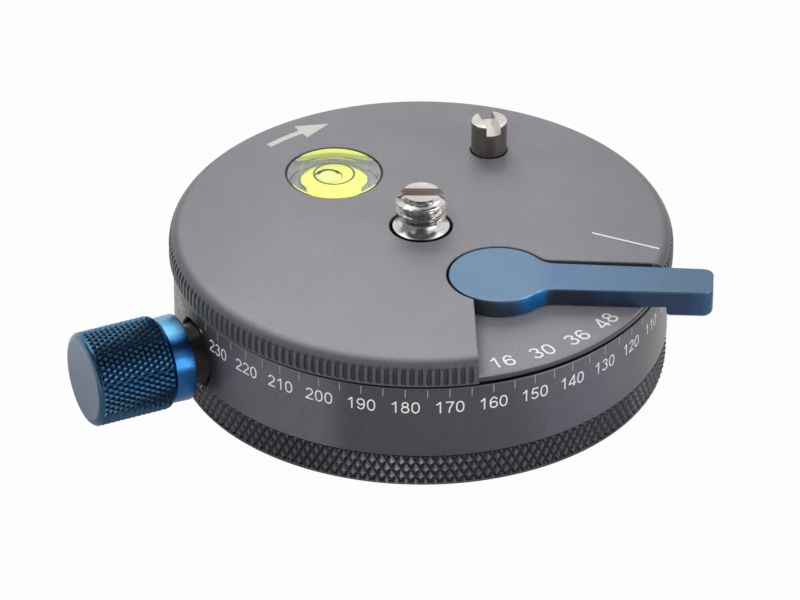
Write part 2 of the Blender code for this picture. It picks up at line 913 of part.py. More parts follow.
def make_index_arm():
    reach = arm_reach()
    housing_bottom = click_disc_top + running_gap
    angle = arm_angle(0)
    swing = math.degrees(math.acos((arm_hub_radius - ball_housing_radius) / reach))
    outline = arc((0.0, 0.0), arm_hub_radius, angle + swing, angle + 360.0 - swing, 3 * arc_steps)
    end = polar(reach, angle)
    outline += arc(end, ball_housing_radius, angle - swing, angle + swing, 2 * arc_steps)
    arm = outline_solid("index_arm", [outline], arm_bottom, arm_top, bright_steel, parent=selector_axis)
    world_end = ball_place(0)
    middle = (arm_bottom + arm_top) / 2
    housing = rod(
        "ball_housing_add",
        ball_housing_radius,
        housing_bottom,
        middle,
        small_sides,
        place=world_end,
    )
    combine(arm, housing, "UNION")
    bore = rod(
        "ball_bore_cut",
        ball_bore,
        housing_bottom - overrun,
        arm_top - 2 * running_gap,
        small_sides,
        place=world_end,
    )
    combine(arm, bore)
    hole = rod(
        "arm_hole_cut",
        shaft_radius + seat_gap,
        arm_bottom - overrun,
        arm_top + overrun,
        part_sides,
        place=lever_place,
    )
    combine(arm, hole)


def make_selector_shaft():
    shaft_bottom = arm_bottom + seat_gap
    shaft = rod(
        "lever_shaft",
        shaft_radius,
        shaft_bottom,
        shaft_top,
        part_sides,
        bright_steel,
        parent=selector_axis,
    )
    hole = rod(
        "arm_screw_hole_cut",
        arm_screw_radius + seat_gap,
        shaft_bottom - overrun,
        shaft_bottom + arm_screw_depth + seat_gap,
        small_sides,
        place=lever_place,
    )
    combine(shaft, hole)
    head_top = arm_bottom - seat_gap
    profile = [
        (0.0, shaft_bottom + arm_screw_depth),
        (arm_screw_radius, shaft_bottom + arm_screw_depth),
        (arm_screw_radius, head_top),
        (arm_screw_head_radius, head_top),
        (arm_screw_head_radius, head_top - arm_screw_head_height),
        (0.0, head_top - arm_screw_head_height),
    ]
    turned("arm_screw", profile, small_sides, dark_steel, parent=selector_axis)


def make_click_ball():
    x, y = ball_place(0)
    centre_height = click_disc_top + seat_gap + click_ball_radius
    ball("click_ball", click_ball_radius, (x, y, centre_height), bright_steel)
    low = centre_height + click_ball_radius + seat_gap + spring_wire_radius
    high = arm_top - 2 * running_gap - seat_gap - spring_wire_radius
    coil_radius = ball_bore - seat_gap - spring_wire_radius
    steps = spring_turns * spring_sides
    coil = bpy.data.curves.new("click_spring", "CURVE")
    coil.dimensions = "3D"
    coil.bevel_depth = spring_wire_radius
    coil.bevel_resolution = 1
    coil.use_fill_caps = True
    spline = coil.splines.new("POLY")
    spline.points.add(steps)
    for i, point in enumerate(spline.points):
        px, py = polar(coil_radius, 360.0 * i / spring_sides)
        point.co = (px, py, low + (high - low) * i / steps, 1.0)
    coil.materials.append(principled("click_spring", bright_steel))
    spring = bpy.data.objects.new("click_spring", coil)
    spring.location = (x - lever_place[0], y - lever_place[1], 0.0)
    spring.parent = selector_axis
    parts.objects.link(spring)


# Camera screw and pin

def make_camera_screw():
    flange_bottom_height = plate_bottom + seat_gap
    flange_top = flange_bottom_height + screw_flange_height
    chamfer = thread_radius - screw_top_radius
    flare_radius = screw_foot_radius - neck_radius
    flare = arc((screw_foot_radius, plate_top + flare_radius), flare_radius, 180.0, 270.0)
    profile = [
        (0.0, screw_top),
        (screw_top_radius, screw_top),
        (thread_radius, screw_top - chamfer),
        (thread_radius, screw_top - thread_length),
        (neck_radius, screw_top - thread_length),
    ]
    profile += flare
    profile += [
        (screw_foot_radius, flange_top),
        (screw_flange_radius, flange_top),
        (screw_flange_radius, flange_bottom_height),
        (0.0, flange_bottom_height),
    ]
    screw = turned("camera_screw", profile, part_sides, bright_steel, parent=rotor_axis)
    slot = block(
        "screw_slot_cut",
        (-thread_radius - overrun, -screw_slot_width / 2, screw_top - screw_slot_depth),
        (thread_radius + overrun, screw_slot_width / 2, screw_top + overrun),
    )
    combine(screw, slot)


def make_pin():
    profile = [
        (0.0, pin_top),
        (pin_radius - pin_edge, pin_top),
        (pin_radius, pin_top - pin_edge),
        (pin_radius, pin_bottom),
        (0.0, pin_bottom),
    ]
    pin = turned("anti_twist_pin", profile, part_sides, bright_steel, (*pin_place, 0.0), rotor_axis)
    slot = block(
        "pin_slot_cut",
        (-pin_radius - overrun, -pin_slot_width / 2, pin_top - pin_slot_depth),
        (pin_radius + overrun, pin_slot_width / 2, pin_top + overrun),
        pin_slot_angle,
        (*pin_place, 0.0),
    )
    combine(pin, slot)


# Clamp: heights along its axis are distances from the turning axis

def make_clamp():
    gland_bore = clamp_screw_radius + seat_gap
    flange_start = spot_face_start + seat_gap
    gland = [
        (gland_radius, flange_start + gland_length),
        (gland_radius, flange_start),
        (gland_body_radius, flange_start),
        (gland_body_radius, ring_bore + seat_gap),
        (gland_bore, ring_bore + seat_gap),
        (gland_bore, flange_start + gland_length),
    ]
    turned("clamp_gland", gland, part_sides, dark_steel, parent=clamp_axis, loop=True)
    shoe_start = drum_radius + clamp_shoe_gap
    shoe_end = disc_radius - clamp_shoe_inset
    rod("clamp_shoe", clamp_screw_radius, shoe_start, shoe_end, part_sides, brass, parent=clamp_axis)
    knob_end = knob_start + collar_length + grip_length
    screw_end = knob_end - knob_end_wall
    rod(
        "clamp_screw",
        clamp_screw_radius,
        shoe_end + seat_gap,
        screw_end,
        part_sides,
        bright_steel,
        parent=clamp_axis,
    )
    collar_end = knob_start + collar_length
    knob = [(0.0, knob_end)]
    knob += reversed(arc((grip_radius - grip_edge, knob_end - grip_edge), grip_edge, 0.0, 90.0, 2))
    knob += [
        (grip_radius, collar_end),
        (collar_radius - knob_groove_depth, collar_end),
        (collar_radius - knob_groove_depth, collar_end - knob_groove_width),
        (collar_radius, collar_end - knob_groove_width),
        (collar_radius, knob_start + grip_edge / 2),
        (collar_radius - grip_edge / 2, knob_start),
        (gland_bore, knob_start),
        (gland_bore, screw_end + seat_gap),
        (0.0, screw_end + seat_gap),
    ]
    turned("clamp_knob", knob, part_sides, lever_blue, parent=clamp_axis)


base_disc = make_base_disc()
scale_ring = make_scale_ring()
make_tripod_socket()
housing = make_bearing_housing()
make_races()
make_cage()
make_click_disc()
top_plate = make_top_plate()
make_brake_drum()
spindle = make_spindle()
make_level()
make_bushes()
make_selector_lever()
make_index_arm()
make_selector_shaft()
make_click_ball()
make_camera_screw()
make_pin()
make_clamp()
screw_circle(
    "foot_screw",
    foot_screw,
    foot_screw_count,
    foot_screw_radius,
    clamp_angle + foot_screw_start,
    0.0,
    (base_disc, scale_ring),
)
head_share, shank_share = housing_screw_shares
head_height, screw_length, sink_depth = housing_screw_height
screw_circle(
    "housing_screw",
    (
        housing_screw_room * head_share,
        head_height,
        housing_screw_room * shank_share,
        screw_length,
        sink_depth,
    ),
    housing_screw_count,
    housing_screw_radius,
    clamp_angle,
    0.0,
    (base_disc, housing),
)
screw_circle(
    "hub_screw",
    hub_screw,
    hub_screw_count,
    hub_screw_radius,
    hub_screw_start,
    flange_bottom,
    (spindle, top_plate),
    rotor_axis,
)
finish_shapes()
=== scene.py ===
import math
from contextlib import contextmanager

import bmesh
import bpy
from mathutils import Matrix, Vector


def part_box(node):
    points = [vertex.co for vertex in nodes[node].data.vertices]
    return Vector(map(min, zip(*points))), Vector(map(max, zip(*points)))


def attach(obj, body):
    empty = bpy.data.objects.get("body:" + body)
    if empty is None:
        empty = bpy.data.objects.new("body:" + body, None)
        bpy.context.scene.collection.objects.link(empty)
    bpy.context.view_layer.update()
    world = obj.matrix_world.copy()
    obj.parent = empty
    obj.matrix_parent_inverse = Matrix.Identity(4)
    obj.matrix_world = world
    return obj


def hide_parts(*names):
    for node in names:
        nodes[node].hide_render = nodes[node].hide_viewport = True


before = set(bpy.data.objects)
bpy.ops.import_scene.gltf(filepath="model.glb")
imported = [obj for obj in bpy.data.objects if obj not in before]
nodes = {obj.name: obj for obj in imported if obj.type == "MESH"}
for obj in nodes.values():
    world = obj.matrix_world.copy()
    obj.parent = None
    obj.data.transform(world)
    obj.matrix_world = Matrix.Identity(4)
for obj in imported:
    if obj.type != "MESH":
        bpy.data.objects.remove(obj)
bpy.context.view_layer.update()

mm = 0.001  # every size in the dictionaries below is in millimetres or degrees
white = (1.0, 1.0, 1.0, 1.0)

layout = {
    "pin": (8.6, 18.35),
    "level": (-11.05, 12.55),
    "lever": (9.55, -11.3),
    "clampAngle": 205.1,
    "clampHeight": 7.5,
}


# Small shop helpers

def onCircle(radius, degrees, centre=(0.0, 0.0)):
    a = math.radians(degrees)
    return (centre[0] + radius * math.cos(a), centre[1] + radius * math.sin(a))


def arcPoints(centre, radius, start, end, steps):
    return [onCircle(radius, start + (end - start) * i / steps, centre) for i in range(steps + 1)]


def linked(name, data):
    obj = bpy.data.objects.new(name, data)
    bpy.context.scene.collection.objects.link(obj)
    return obj


def meshObject(name, points, faces):
    mesh = bpy.data.meshes.new(name)
    mesh.from_pydata([Vector(p) * mm for p in points], [], faces)
    return linked(name, mesh)


def shapeObject(name, shape):
    mesh = bpy.data.meshes.new(name)
    shape.to_mesh(mesh)
    shape.free()
    return linked(name, mesh)


@contextmanager
def edited(mesh):
    shape = bmesh.new()
    shape.from_mesh(mesh)
    yield shape
    shape.to_mesh(mesh)
    shape.free()


def outward(obj, mergeAt=0.0005):
    # Doubles are merged first, then every face is turned to point out of the solid.
    with edited(obj.data) as shape:
        bmesh.ops.remove_doubles(shape, verts=shape.verts, dist=mergeAt * mm)
        bmesh.ops.recalc_face_normals(shape, faces=shape.faces)
    return obj


def bands(starts, count, closed=True):
    # Quads between rows of count points; starts says where each row begins.
    return [
        (a + i, a + (i + 1) % count, b + (i + 1) % count, b + i)
        for a, b in zip(starts[:-1], starts[1:])
        for i in range(count if closed else count - 1)
    ]


def rings(profile, sides):
    # A row of points round Z for each (radius, height).
    return [
        (*onCircle(radius, 360.0 * i / sides), height)
        for radius, height in profile
        for i in range(sides)
    ]


def turned(name, profile, sides, loop=False):
    # A turned shape about Z; a profile that isn't a loop starts and ends with a flat cap on the axis.
    points = rings(profile, sides)
    starts = [row * sides for row in range(len(profile))]
    faces = bands(starts + [0] if loop else starts, sides)
    if not loop:
        faces += [tuple(range(sides)), tuple(range(starts[-1], starts[-1] + sides))]
    return outward(meshObject(name, points, faces))


def mapTurning(obj):
    # U along the turning axis Z and V round it, for the way the gloss spreads on turned metal.
    layer = obj.data.uv_layers.new(name="turning")
    for face in obj.data.polygons:
        corners = [obj.data.vertices[obj.data.loops[i].vertex_index].co for i in face.loop_indices]
        angles = [math.atan2(c.y, c.x) for c in corners]
        for loop, corner, angle in zip(face.loop_indices, corners, angles):
            if max(angles) - min(angles) > math.pi and angle < 0.0:
                angle += 2.0 * math.pi
            along = corner.z if abs(face.normal.z) < 0.7 else math.hypot(corner.x, corner.y)
            layer.data[loop].uv = (along / mm / 10.0, angle / math.pi)


def walled(name, levels):
    # A solid through outlines of equal length, given as (height, points).
    count = len(levels[0][1])
    points = [(x, y, height) for height, outline in levels for x, y in outline]
    starts = [row * count for row in range(len(levels))]
    caps = [tuple(range(count)), tuple(range(starts[-1], starts[-1] + count))]
    return outward(meshObject(name, points, caps + bands(starts, count)))


def box(name, low, high):
    corners = [(low[0], low[1]), (high[0], low[1]), (high[0], high[1]), (low[0], high[1])]
    return walled(name, [(low[2], corners), (high[2], corners)])


def grown(outline, amount):
    # The same outline moved outwards, corner by corner; the outline runs anticlockwise.
    result = []
    for i, point in enumerate(outline):
        before, here, after = Vector(outline[i - 1]), Vector(point), Vector(outline[(i + 1) % len(outline)])
        inEdge, outEdge = (here - before).normalized(), (after - here).normalized()
        a, b = Vector((inEdge.y, -inEdge.x)), Vector((outEdge.y, -outEdge.x))
        result.append(tuple(here + (a + b) * (amount / (1.0 + a.dot(b)))))
    return result


def moved(obj, matrix):
    obj.data.transform(matrix)
    return obj


def spun(obj, degrees, axis="Z"):
    return moved(obj, Matrix.Rotation(math.radians(degrees), 4, axis))


def shifted(obj, x=0.0, y=0.0, z=0.0):
    return moved(obj, Matrix.Translation(Vector((x, y, z)) * mm))


def asPlainMesh(obj):
    graph = bpy.context.evaluated_depsgraph_get()
    mesh = bpy.data.meshes.new_from_object(obj.evaluated_get(graph))
    obj.modifiers.clear()
    obj.data = mesh
    return obj


def joined(name, *objs):
    shape = bmesh.new()
    for obj in objs:
        shape.from_mesh(obj.data)
        bpy.data.objects.remove(obj)
    return shapeObject(name, shape)


def carve(obj, *cutters, operation="DIFFERENCE"):
    tool = joined("cutter", *cutters) if len(cutters) > 1 else cutters[0]
    change = obj.modifiers.new("Carve", "BOOLEAN")
    change.operation = operation
    change.solver = "EXACT"
    change.object = tool
    asPlainMesh(obj)
    bpy.data.objects.remove(tool)
    return obj


def softened(obj, width, segments, angle):
    change = obj.modifiers.new("Edges", "BEVEL")
    change.width = width * mm
    change.segments = segments
    change.limit_method = "ANGLE"
    change.angle_limit = math.radians(angle)
    return asPlainMesh(obj)


def dressed(obj, material, body, replaced=(), crease=32.0, flatArea=3.0):
    # Smooth shading with breaks at corners and round large flat faces, then the finish and the body.
    mesh = obj.data
    mesh.shade_smooth()
    mesh.set_sharp_from_angle(angle=math.radians(crease))
    with edited(mesh) as shape:
        for face in shape.faces:
            if face.calc_area() > flatArea * mm * mm:
                for edge in face.edges:
                    edge.smooth = False
    mesh.materials.clear()
    mesh.materials.append(material)
    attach(obj, body)
    if replaced:
        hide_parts(*replaced)


# Finishes, all on Object coordinates

def rgb(red, green, blue):
    # A colour read in 0-255 screen values.
    def linear(v):
        v = v / 255.0
        return v / 12.92 if v <= 0.04045 else ((v + 0.055) / 1.055) ** 2.4
    return (linear(red), linear(green), linear(blue), 1.0)


def feed(node, inputs):
    # Gives each input a value or another node's socket.
    for key, value in dict(inputs).items():
        if isinstance(value, bpy.types.NodeSocket):
            node.id_data.links.new(value, node.inputs[key])
        else:
            node.inputs[key].default_value = value
    return node


def added(tree, kind, inputs=(), **settings):
    node = tree.nodes.new(kind)
    for key, value in settings.items():
        setattr(node, key, value)
    return feed(node, inputs)


def finish(
    name, roughness, metallic, coat=0.0, coatRoughness=0.1, ior=1.5, transmission=0.0, anisotropic=0.0,
):
    material = bpy.data.materials.new(name)
    material.use_nodes = True
    tree = material.node_tree
    shader = feed(tree.nodes["Principled BSDF"], {
        "Roughness": roughness,
        "Metallic": metallic,
        "Coat Weight": coat,
        "Coat Roughness": coatRoughness,
        "IOR": ior,
        "Transmission Weight": transmission,
        "Anisotropic": anisotropic,
    })
    if anisotropic:  # the gloss spreads along U of the piece's own map
        way = added(tree, "ShaderNodeTangent", direction_type="UV_MAP", uv_map="turning")
        feed(shader, {"Tangent": way.outputs["Tangent"]})
    return material, tree, shader


def grainNoise(tree, scale, stretch=(1.0, 1.0, 1.0), detail=3.0):
    place = added(tree, "ShaderNodeTexCoord").outputs["Object"]
    place = added(tree, "ShaderNodeMapping", {"Vector": place, "Scale": stretch}).outputs["Vector"]
    noise = added(tree, "ShaderNodeTexNoise", {"Vector": place, "Scale": scale, "Detail": detail})
    return noise.outputs["Fac"]


def spread(noise, low=0.0, high=1.0):
    # Turns noise round 0.5 into values between low and high.
    limits = {"Value": noise, "From Min": 0.3, "From Max": 0.7, "To Min": low, "To Max": high}
    return added(noise.id_data, "ShaderNodeMapRange", limits).outputs["Result"]


def tinted(shader, value, dark, light):
    mix = added(shader.id_data, "ShaderNodeMix", {"Factor": value, "A": dark, "B": light}, data_type="RGBA")
    feed(shader, {"Base Color": mix.outputs["Result"]})


def bumped(shader, value, strength, depth):
    inputs = {"Height": value, "Strength": strength, "Distance": depth * mm}
    bump = added(shader.id_data, "ShaderNodeBump", inputs)
    feed(shader, {"Normal": bump.outputs["Normal"]})


def blasted(name, dark, light, roughness, metallic, grain=4200.0, bump=0.25, **more):
    # Bead-blasted and anodised: fine pits, with the faintest clouds in the tone.
    material, tree, shader = finish(name, roughness, metallic, **more)
    pits = grainNoise(tree, grain)
    clouds = grainNoise(tree, 240.0, detail=2.0)
    both = added(tree, "ShaderNodeMix", {"Factor": 0.2, "A": pits, "B": clouds})
    tinted(shader, spread(both.outputs["Result"]), rgb(*dark), rgb(*light))
    feed(shader, {"Roughness": spread(pits, roughness - 0.05, roughness + 0.05)})
    bumped(shader, pits, bump, 0.02)
    return material


def lathed(name, dark, light, roughness, metallic, stretch=(1.0, 1.0, 60.0), grain=260.0, bump=0.2, **more):
    # Turned metal: fine lines that run round the axis.
    material, tree, shader = finish(name, roughness, metallic, **more)
    lines = grainNoise(tree, grain, stretch, 4.0)
    clouds = grainNoise(tree, 420.0, detail=2.0)
    tinted(shader, spread(lines), rgb(*dark), rgb(*light))
    feed(shader, {"Roughness": spread(clouds, roughness - 0.04, roughness + 0.06)})
    bumped(shader, lines, bump, 0.01)
    return material


def placeOf(tree, kind="Object"):
    # The point's own x, y and z, in metres.
    place = added(tree, "ShaderNodeTexCoord").outputs[kind]
    return added(tree, "ShaderNodeSeparateXYZ", {0: place}).outputs


def eased(value, start, end, unit=mm):
    # 0 before start, 1 past end, smooth between; start may be the larger one.
    limits = {"Value": value, "From Min": start * unit, "From Max": end * unit}
    ramp = added(value.id_data, "ShaderNodeMapRange", limits, interpolation_type="SMOOTHSTEP")
    return ramp.outputs["Result"]


def combined(operation, a, b=0.0):
    # Either one may be a socket or a number.
    tree = (b if isinstance(a, float) else a).id_data
    return added(tree, "ShaderNodeMath", {0: a, 1: b}, operation=operation).outputs[0]


def product(first, *others):
    for other in others:
        first = combined("MULTIPLY", first, other)
    return first


def highest(first, *others):
    for other in others:
        first = combined("MAXIMUM", first, other)
    return first


def between(value, start, full, fade, end):
    # 1 from full to fade, 0 outside start and end.
    return product(eased(value, start, full), eased(value, end, fade))


def shaded(material, *tones):
    # Multiplies the base colour by each tone where its share is 1.
    tree = material.node_tree
    shader = tree.nodes["Principled BSDF"]
    for share, tone in tones:
        colour = shader.inputs["Base Color"].links[0].from_socket
        inputs = {"Factor": share, "A": colour, "B": (*tone, 1.0)}
        mix = added(tree, "ShaderNodeMix", inputs, data_type="RGBA", blend_type="MULTIPLY")
        feed(shader, {"Base Color": mix.outputs["Result"]})
    return material


def roughened(material, share, amount):
    shader = material.node_tree.nodes["Principled BSDF"]
    rough = shader.inputs["Roughness"].links[0].from_socket
    feed(shader, {"Roughness": combined("ADD", rough, product(share, amount))})


def farFrom(x, y, centre=(0.0, 0.0)):
    # Distance from an axis.
    x = combined("SUBTRACT", x, centre[0] * mm)
    y = combined("SUBTRACT", y, centre[1] * mm)
    return combined("SQRT", combined("ADD", product(x, x), product(y, y)))


def clampPlace(x, y):
    # How far out a point is along the clamp's axis, and how far beside it towards the front.
    aim = math.radians(layout["clampAngle"])
    out = combined("ADD", product(x, math.cos(aim)), product(y, math.sin(aim)))
    return out, combined("SUBTRACT", product(y, math.cos(aim)), product(x, math.sin(aim)))


def makePlateGrey():
    # The fluted rim is smoother than the blasted top and painted darker as shade; its grooves, the walls of
    # the openings and the front left and right carry painted shade too.
    material = blasted("plateGrey", (130, 129, 134), (148, 147, 152), 0.55, 0.0)
    x, y, z = placeOf(material.node_tree)
    reach = farFrom(x, y)
    # rim marks the fluted rim: it is smoother, and painted darker as shade
    rim = product(eased(reach, 29.8, 30.9), highest(eased(z, 15.58, 15.8), eased(reach, 31.0, 31.08)))
    # painted shade in the grooves of the flutes
    groove = product(eased(reach, 31.44, 31.28), eased(z, 17.3, 16.9), rim)
    # painted shade on the walls of the openings
    wallShade = product(between(z, 16.1, 16.3, 17.9, 18.02), eased(reach, 29.9, 29.7))
    # painted shade towards the front left and right of the plate
    frontSideShade = product(eased(combined("ABSOLUTE", x), 14.0, 30.0), eased(y, -22.0, -8.0))
    roughened(material, rim, -0.22)
    return shaded(
        material,
        (wallShade, (0.3, 0.3, 0.31)),
        (frontSideShade, (0.86, 0.86, 0.86)),
        (rim, (0.36, 0.36, 0.38)),
        (groove, (0.5, 0.5, 0.5)),
    )


def makeRingGrey():
    # The upper edge carries a painted highlight; the face under the platform is painted black as shadow, the
    # wall round the clamp carries painted shadow, and lighter bands at the left and right are painted
    # reflections.
    material = blasted("ringGrey", (66, 66, 71), (82, 82, 87), 0.36, 0.0)
    x, y, z = placeOf(material.node_tree)
    out, beside = clampPlace(x, y)
    # painted highlight along the upper edge
    edge = eased(z, 13.92, 14.02)
    # painted shadow: the face under the platform is near black
    underPlateShadow = product(eased(farFrom(x, y), 30.92, 30.84), edge)
    # painted reflections: lighter bands at the left and at the right
    leftGleam = product(between(x, -27.0, -21.0, -13.0, -8.0), eased(y, 0.0, -6.0))
    rightGleam = between(x, 10.0, 19.0, 23.0, 28.0)
    # painted shadow on the ring round the clamp
    clampShadow = product(eased(farFrom(beside, z, (0.0, layout["clampHeight"])), 8.0, 4.6), eased(out, 20.0, 26.0))
    return shaded(
        material,
        (edge, (1.7, 1.7, 1.7)),
        (underPlateShadow, (0.06, 0.06, 0.06)),
        (leftGleam, (1.9, 1.9, 1.95)),
        (rightGleam, (1.5, 1.5, 1.66)),
        (clampShadow, (0.4, 0.36, 0.34)),
    )


def makePinSteel():
    # Bright where the top and the slot are cut; round the outside it is painted dark as shade.
    material = lathed("pinSteel", (190, 185, 180), (232, 228, 224), 0.2, 1.0, bump=0.25)
    x, y, z = placeOf(material.node_tree)
    # painted shade round the outside
    outside = product(eased(farFrom(x, y, layout["pin"]), 2.14, 2.22), eased(z, 22.4, 22.2))
    return shaded(material, (outside, (0.4, 0.38, 0.37)))


def makeLeverBlue():
    # The milled sides are painted darker than the brushed top as shade, the arm is painted darker towards its
    # end as shade, and the sides carry painted reflections, a blue one on the hub's near flank.
    material = blasted("leverBlue", (99, 128, 156), (115, 144, 172), 0.34, 0.75, bump=0.15)
    x, _, z = placeOf(material.node_tree)
    out = combined("SUBTRACT", x, layout["lever"][0] * mm)
    side = eased(z, 17.95, 17.7)
    return shaded(
        material,
        # painted shade: darker along the arm away from the hub
        (eased(out, -1.55, 30.45), (0.75, 0.67, 0.63)),
        (eased(out, 3.5, 7.5), (0.8, 0.9, 0.98)),
        # painted shade on the sides
        (side, (0.32, 0.36, 0.43)),
        # painted reflections on the sides: tints at the hub's left end and along the arm, and a lighter tip
        (product(side, eased(out, 1.5, -1.0)), (1.5, 1.0, 0.74)),
        (product(side, between(out, 5.8, 6.6, 10.0, 14.0)), (1.2, 0.78, 0.62)),
        (product(side, eased(out, 22.5, 25.0)), (1.1, 1.45, 1.6)),
        # painted reflection: a bright blue patch on the hub's near flank
        (product(side, between(out, 1.6, 4.0, 5.4, 6.3)), (0.3, 2.1, 3.2)),
    )


def makeFootBlack():
    # The knurl's grooves are painted dark as shade, the crests keep the plain tone, and the side away from
    # the clamp is painted darker as shade.
    material = blasted("footBlack", (107, 107, 115), (120, 120, 128), 0.2, 0.75, bump=0.02)
    x, y, _ = placeOf(material.node_tree)
    # painted shade in the grooves and on the side away from the clamp
    groove = eased(farFrom(x, y), 30.9, 30.66)
    return shaded(material, (groove, (0.4, 0.4, 0.4)), (eased(x, 19.0, 26.0), (0.42, 0.42, 0.42)))


def makeCollarBlue():
    # A painted highlight lies as a lighter band along the collar's upper side.
    material = lathed("collarBlue", (48, 112, 178), (64, 128, 194), 0.26, 1.0, bump=0.03, anisotropic=0.85)
    x, y, z = placeOf(material.node_tree)
    middle = layout["clampHeight"]
    # painted highlight along the upper side
    band = product(between(clampPlace(x, y)[1], -2.0, -0.8, 1.8, 3.0), eased(z, middle - 0.5, middle + 0.5))
    return shaded(material, (band, (3.6, 2.2, 1.35)))


def makeTurnedSteel():
    # Bright turned metal, with a band of painted shade broken by grain where the thread was cut, and a
    # rougher slot.
    material = lathed("turnedSteel", (184, 181, 178), (224, 222, 220), 0.17, 1.0, bump=0.4)
    _, y, z = placeOf(material.node_tree)
    # painted shade on the thread, its strength varied by grain
    threadShade = product(between(z, 19.0, 19.6, 21.1, 21.5), spread(grainNoise(material.node_tree, 3600.0), 0.2))
    slot = product(eased(combined("ABSOLUTE", y), 0.9, 0.86), between(z, 21.4, 21.5, 22.75, 22.85))
    roughened(material, slot, 0.4)
    return shaded(material, (threadShade, (0.3, 0.28, 0.27)), (slot, (0.95, 0.88, 0.84)))


plateGrey = makePlateGrey()
ringGrey = makeRingGrey()
footBlack = makeFootBlack()
leverBlue = makeLeverBlue()
collarBlue = makeCollarBlue()
turnedSteel = makeTurnedSteel()
pinSteel = makePinSteel()
gripBlue = blasted(
    "gripBlue", (60, 97, 127), (77, 116, 147), 0.2, 1.0,
    grain=2600.0, bump=0.05, coat=0.15, coatRoughness=0.2)
endBlue = blasted("endBlue", (140, 150, 170), (154, 164, 184), 0.5, 0.5, grain=2600.0, bump=0.1)
blackSteel = blasted("blackSteel", (30, 30, 32), (44, 44, 46), 0.35, 0.5)
glandBlack = blasted("glandBlack", (34, 31, 30), (44, 40, 38), 0.3, 0.6)
bearingSteel = lathed("bearingSteel", (150, 150, 152), (190, 190, 192), 0.25, 1.0)
turnedBrass = lathed("turnedBrass", (176, 140, 74), (206, 172, 104), 0.3, 1.0)
inkWhite = blasted("inkWhite", (242, 242, 244), (252, 252, 252), 0.5, 0.0, bump=0.1)
tickGrey = blasted("tickGrey", (168, 168, 172), (184, 184, 188), 0.5, 0.0, bump=0.1)
inkSilver = blasted("inkSilver", (206, 204, 200), (220, 218, 214), 0.45, 0.1, bump=0.1)
print("finishes ready")


# Repeats around an axis: the tree turns one piece in rows and joins what touches

def repeatTree():
    tree = bpy.data.node_groups.new("repeatAround", "GeometryNodeTree")
    for name, kind in (
        ("Geometry", "Geometry"), ("Count", "Int"), ("Rows", "Int"), ("Row Height", "Float"),
        ("Start Turn", "Float"), ("Merge", "Float"), ("Material", "Material"),
    ):
        tree.interface.new_socket(name, in_out="INPUT", socket_type="NodeSocket" + kind)
    tree.interface.new_socket("Geometry", in_out="OUTPUT", socket_type="NodeSocketGeometry")
    given = added(tree, "NodeGroupInput").outputs
    number = added(tree, "GeometryNodeInputIndex").outputs[0]
    row = combined("FLOOR", combined("DIVIDE", combined("ADD", number, 0.5), given["Count"]))
    place = combined("SUBTRACT", number, product(row, given["Count"]))
    turn = product(place, combined("DIVIDE", 2.0 * math.pi, given["Count"]))
    turn = combined("ADD", turn, given["Start Turn"])
    total = product(given["Count"], given["Rows"])
    line = added(tree, "GeometryNodeMeshLine", {"Count": total, "Offset": (0, 0, 0)})
    height = added(tree, "ShaderNodeCombineXYZ", {"Z": product(row, given["Row Height"])})
    lift = added(tree, "GeometryNodeSetPosition", {
        "Geometry": line.outputs[0],
        "Position": height.outputs[0],
    })
    angles = added(tree, "ShaderNodeCombineXYZ", {"Z": turn})
    copies = added(tree, "GeometryNodeInstanceOnPoints", {
        "Points": lift.outputs[0],
        "Instance": given["Geometry"],
        "Rotation": angles.outputs[0],
    })
    real = added(tree, "GeometryNodeRealizeInstances", {0: copies.outputs[0]})
    merge = added(tree, "GeometryNodeMergeByDistance", {
        "Geometry": real.outputs[0],
        "Distance": given["Merge"],
    })
    paint = added(tree, "GeometryNodeSetMaterial", {
        "Geometry": merge.outputs[0],
        "Material": given["Material"],
    })
    added(tree, "NodeGroupOutput", {0: paint.outputs[0]})
    return tree


repeatAround = repeatTree()


def repeated(obj, count, material, rows=1, rowHeight=0.0, startTurn=0.0, merge=0.0):
    change = obj.modifiers.new("Repeat", "NODES")
    change.node_group = repeatAround
    values = {
        "Count": count,
        "Rows": rows,
        "Row Height": rowHeight * mm,
        "Start Turn": math.radians(startTurn),
        "Merge": merge * mm,
        "Material": material,
    }
    for item in repeatAround.interface.items_tree:
        if item.in_out == "INPUT" and item.name in values:
            change[item.identifier] = values[item.name]
    return asPlainMesh(obj)


def drawn(shape, edges, radius, height=None):
    # Extrudes open edges to another radius, and to a height if one is given.
    made = bmesh.ops.extrude_edge_only(shape, edges=edges)["geom"]
    inner = [e for e in made if isinstance(e, bmesh.types.BMEdge) and e.is_boundary]
    for vert in {v for e in inner for v in e.verts}:
        scale = radius * mm / math.hypot(vert.co.x, vert.co.y)
        z = vert.co.z if height is None else height * mm
        vert.co = (vert.co.x * scale, vert.co.y * scale, z)
    return inner


def knurled(name, radius, depth, count, rows, low, high, inside, material):
    # One cell holds a pointed diamond and a quarter of each neighbour; the cells join into a closed sleeve.
    step = (high - low) / rows / 2
    half = 180.0 / count
    points, faces = [], []
    for k in range(3):
        for j in range(3):
            reach = radius if (j + k) % 2 == 0 else radius - depth
            points.append((*onCircle(reach, half * j), low + step * k))
    for k in range(2):
        for j in range(2):
            a = k * 3 + j
            b, c, d = a + 1, a + 4, a + 3
            faces += [(a, b, d), (b, c, d)] if (j + k) % 2 == 0 else [(a, b, c), (a, c, d)]
    band = repeated(meshObject(name, points, faces), count, material, rows, 2 * step, merge=depth * 0.02)
    with edited(band.data) as shape:
        loops = []
        for height in (low, high):
            rim = [
                e for e in shape.edges
                if e.is_boundary and all(abs(v.co.z / mm - height) < 0.01 for v in e.verts)
            ]
            loops += drawn(shape, rim, inside)
        bmesh.ops.bridge_loops(shape, edges=loops)
        bmesh.ops.recalc_face_normals(shape, faces=shape.faces)
    return band


# Camera platform

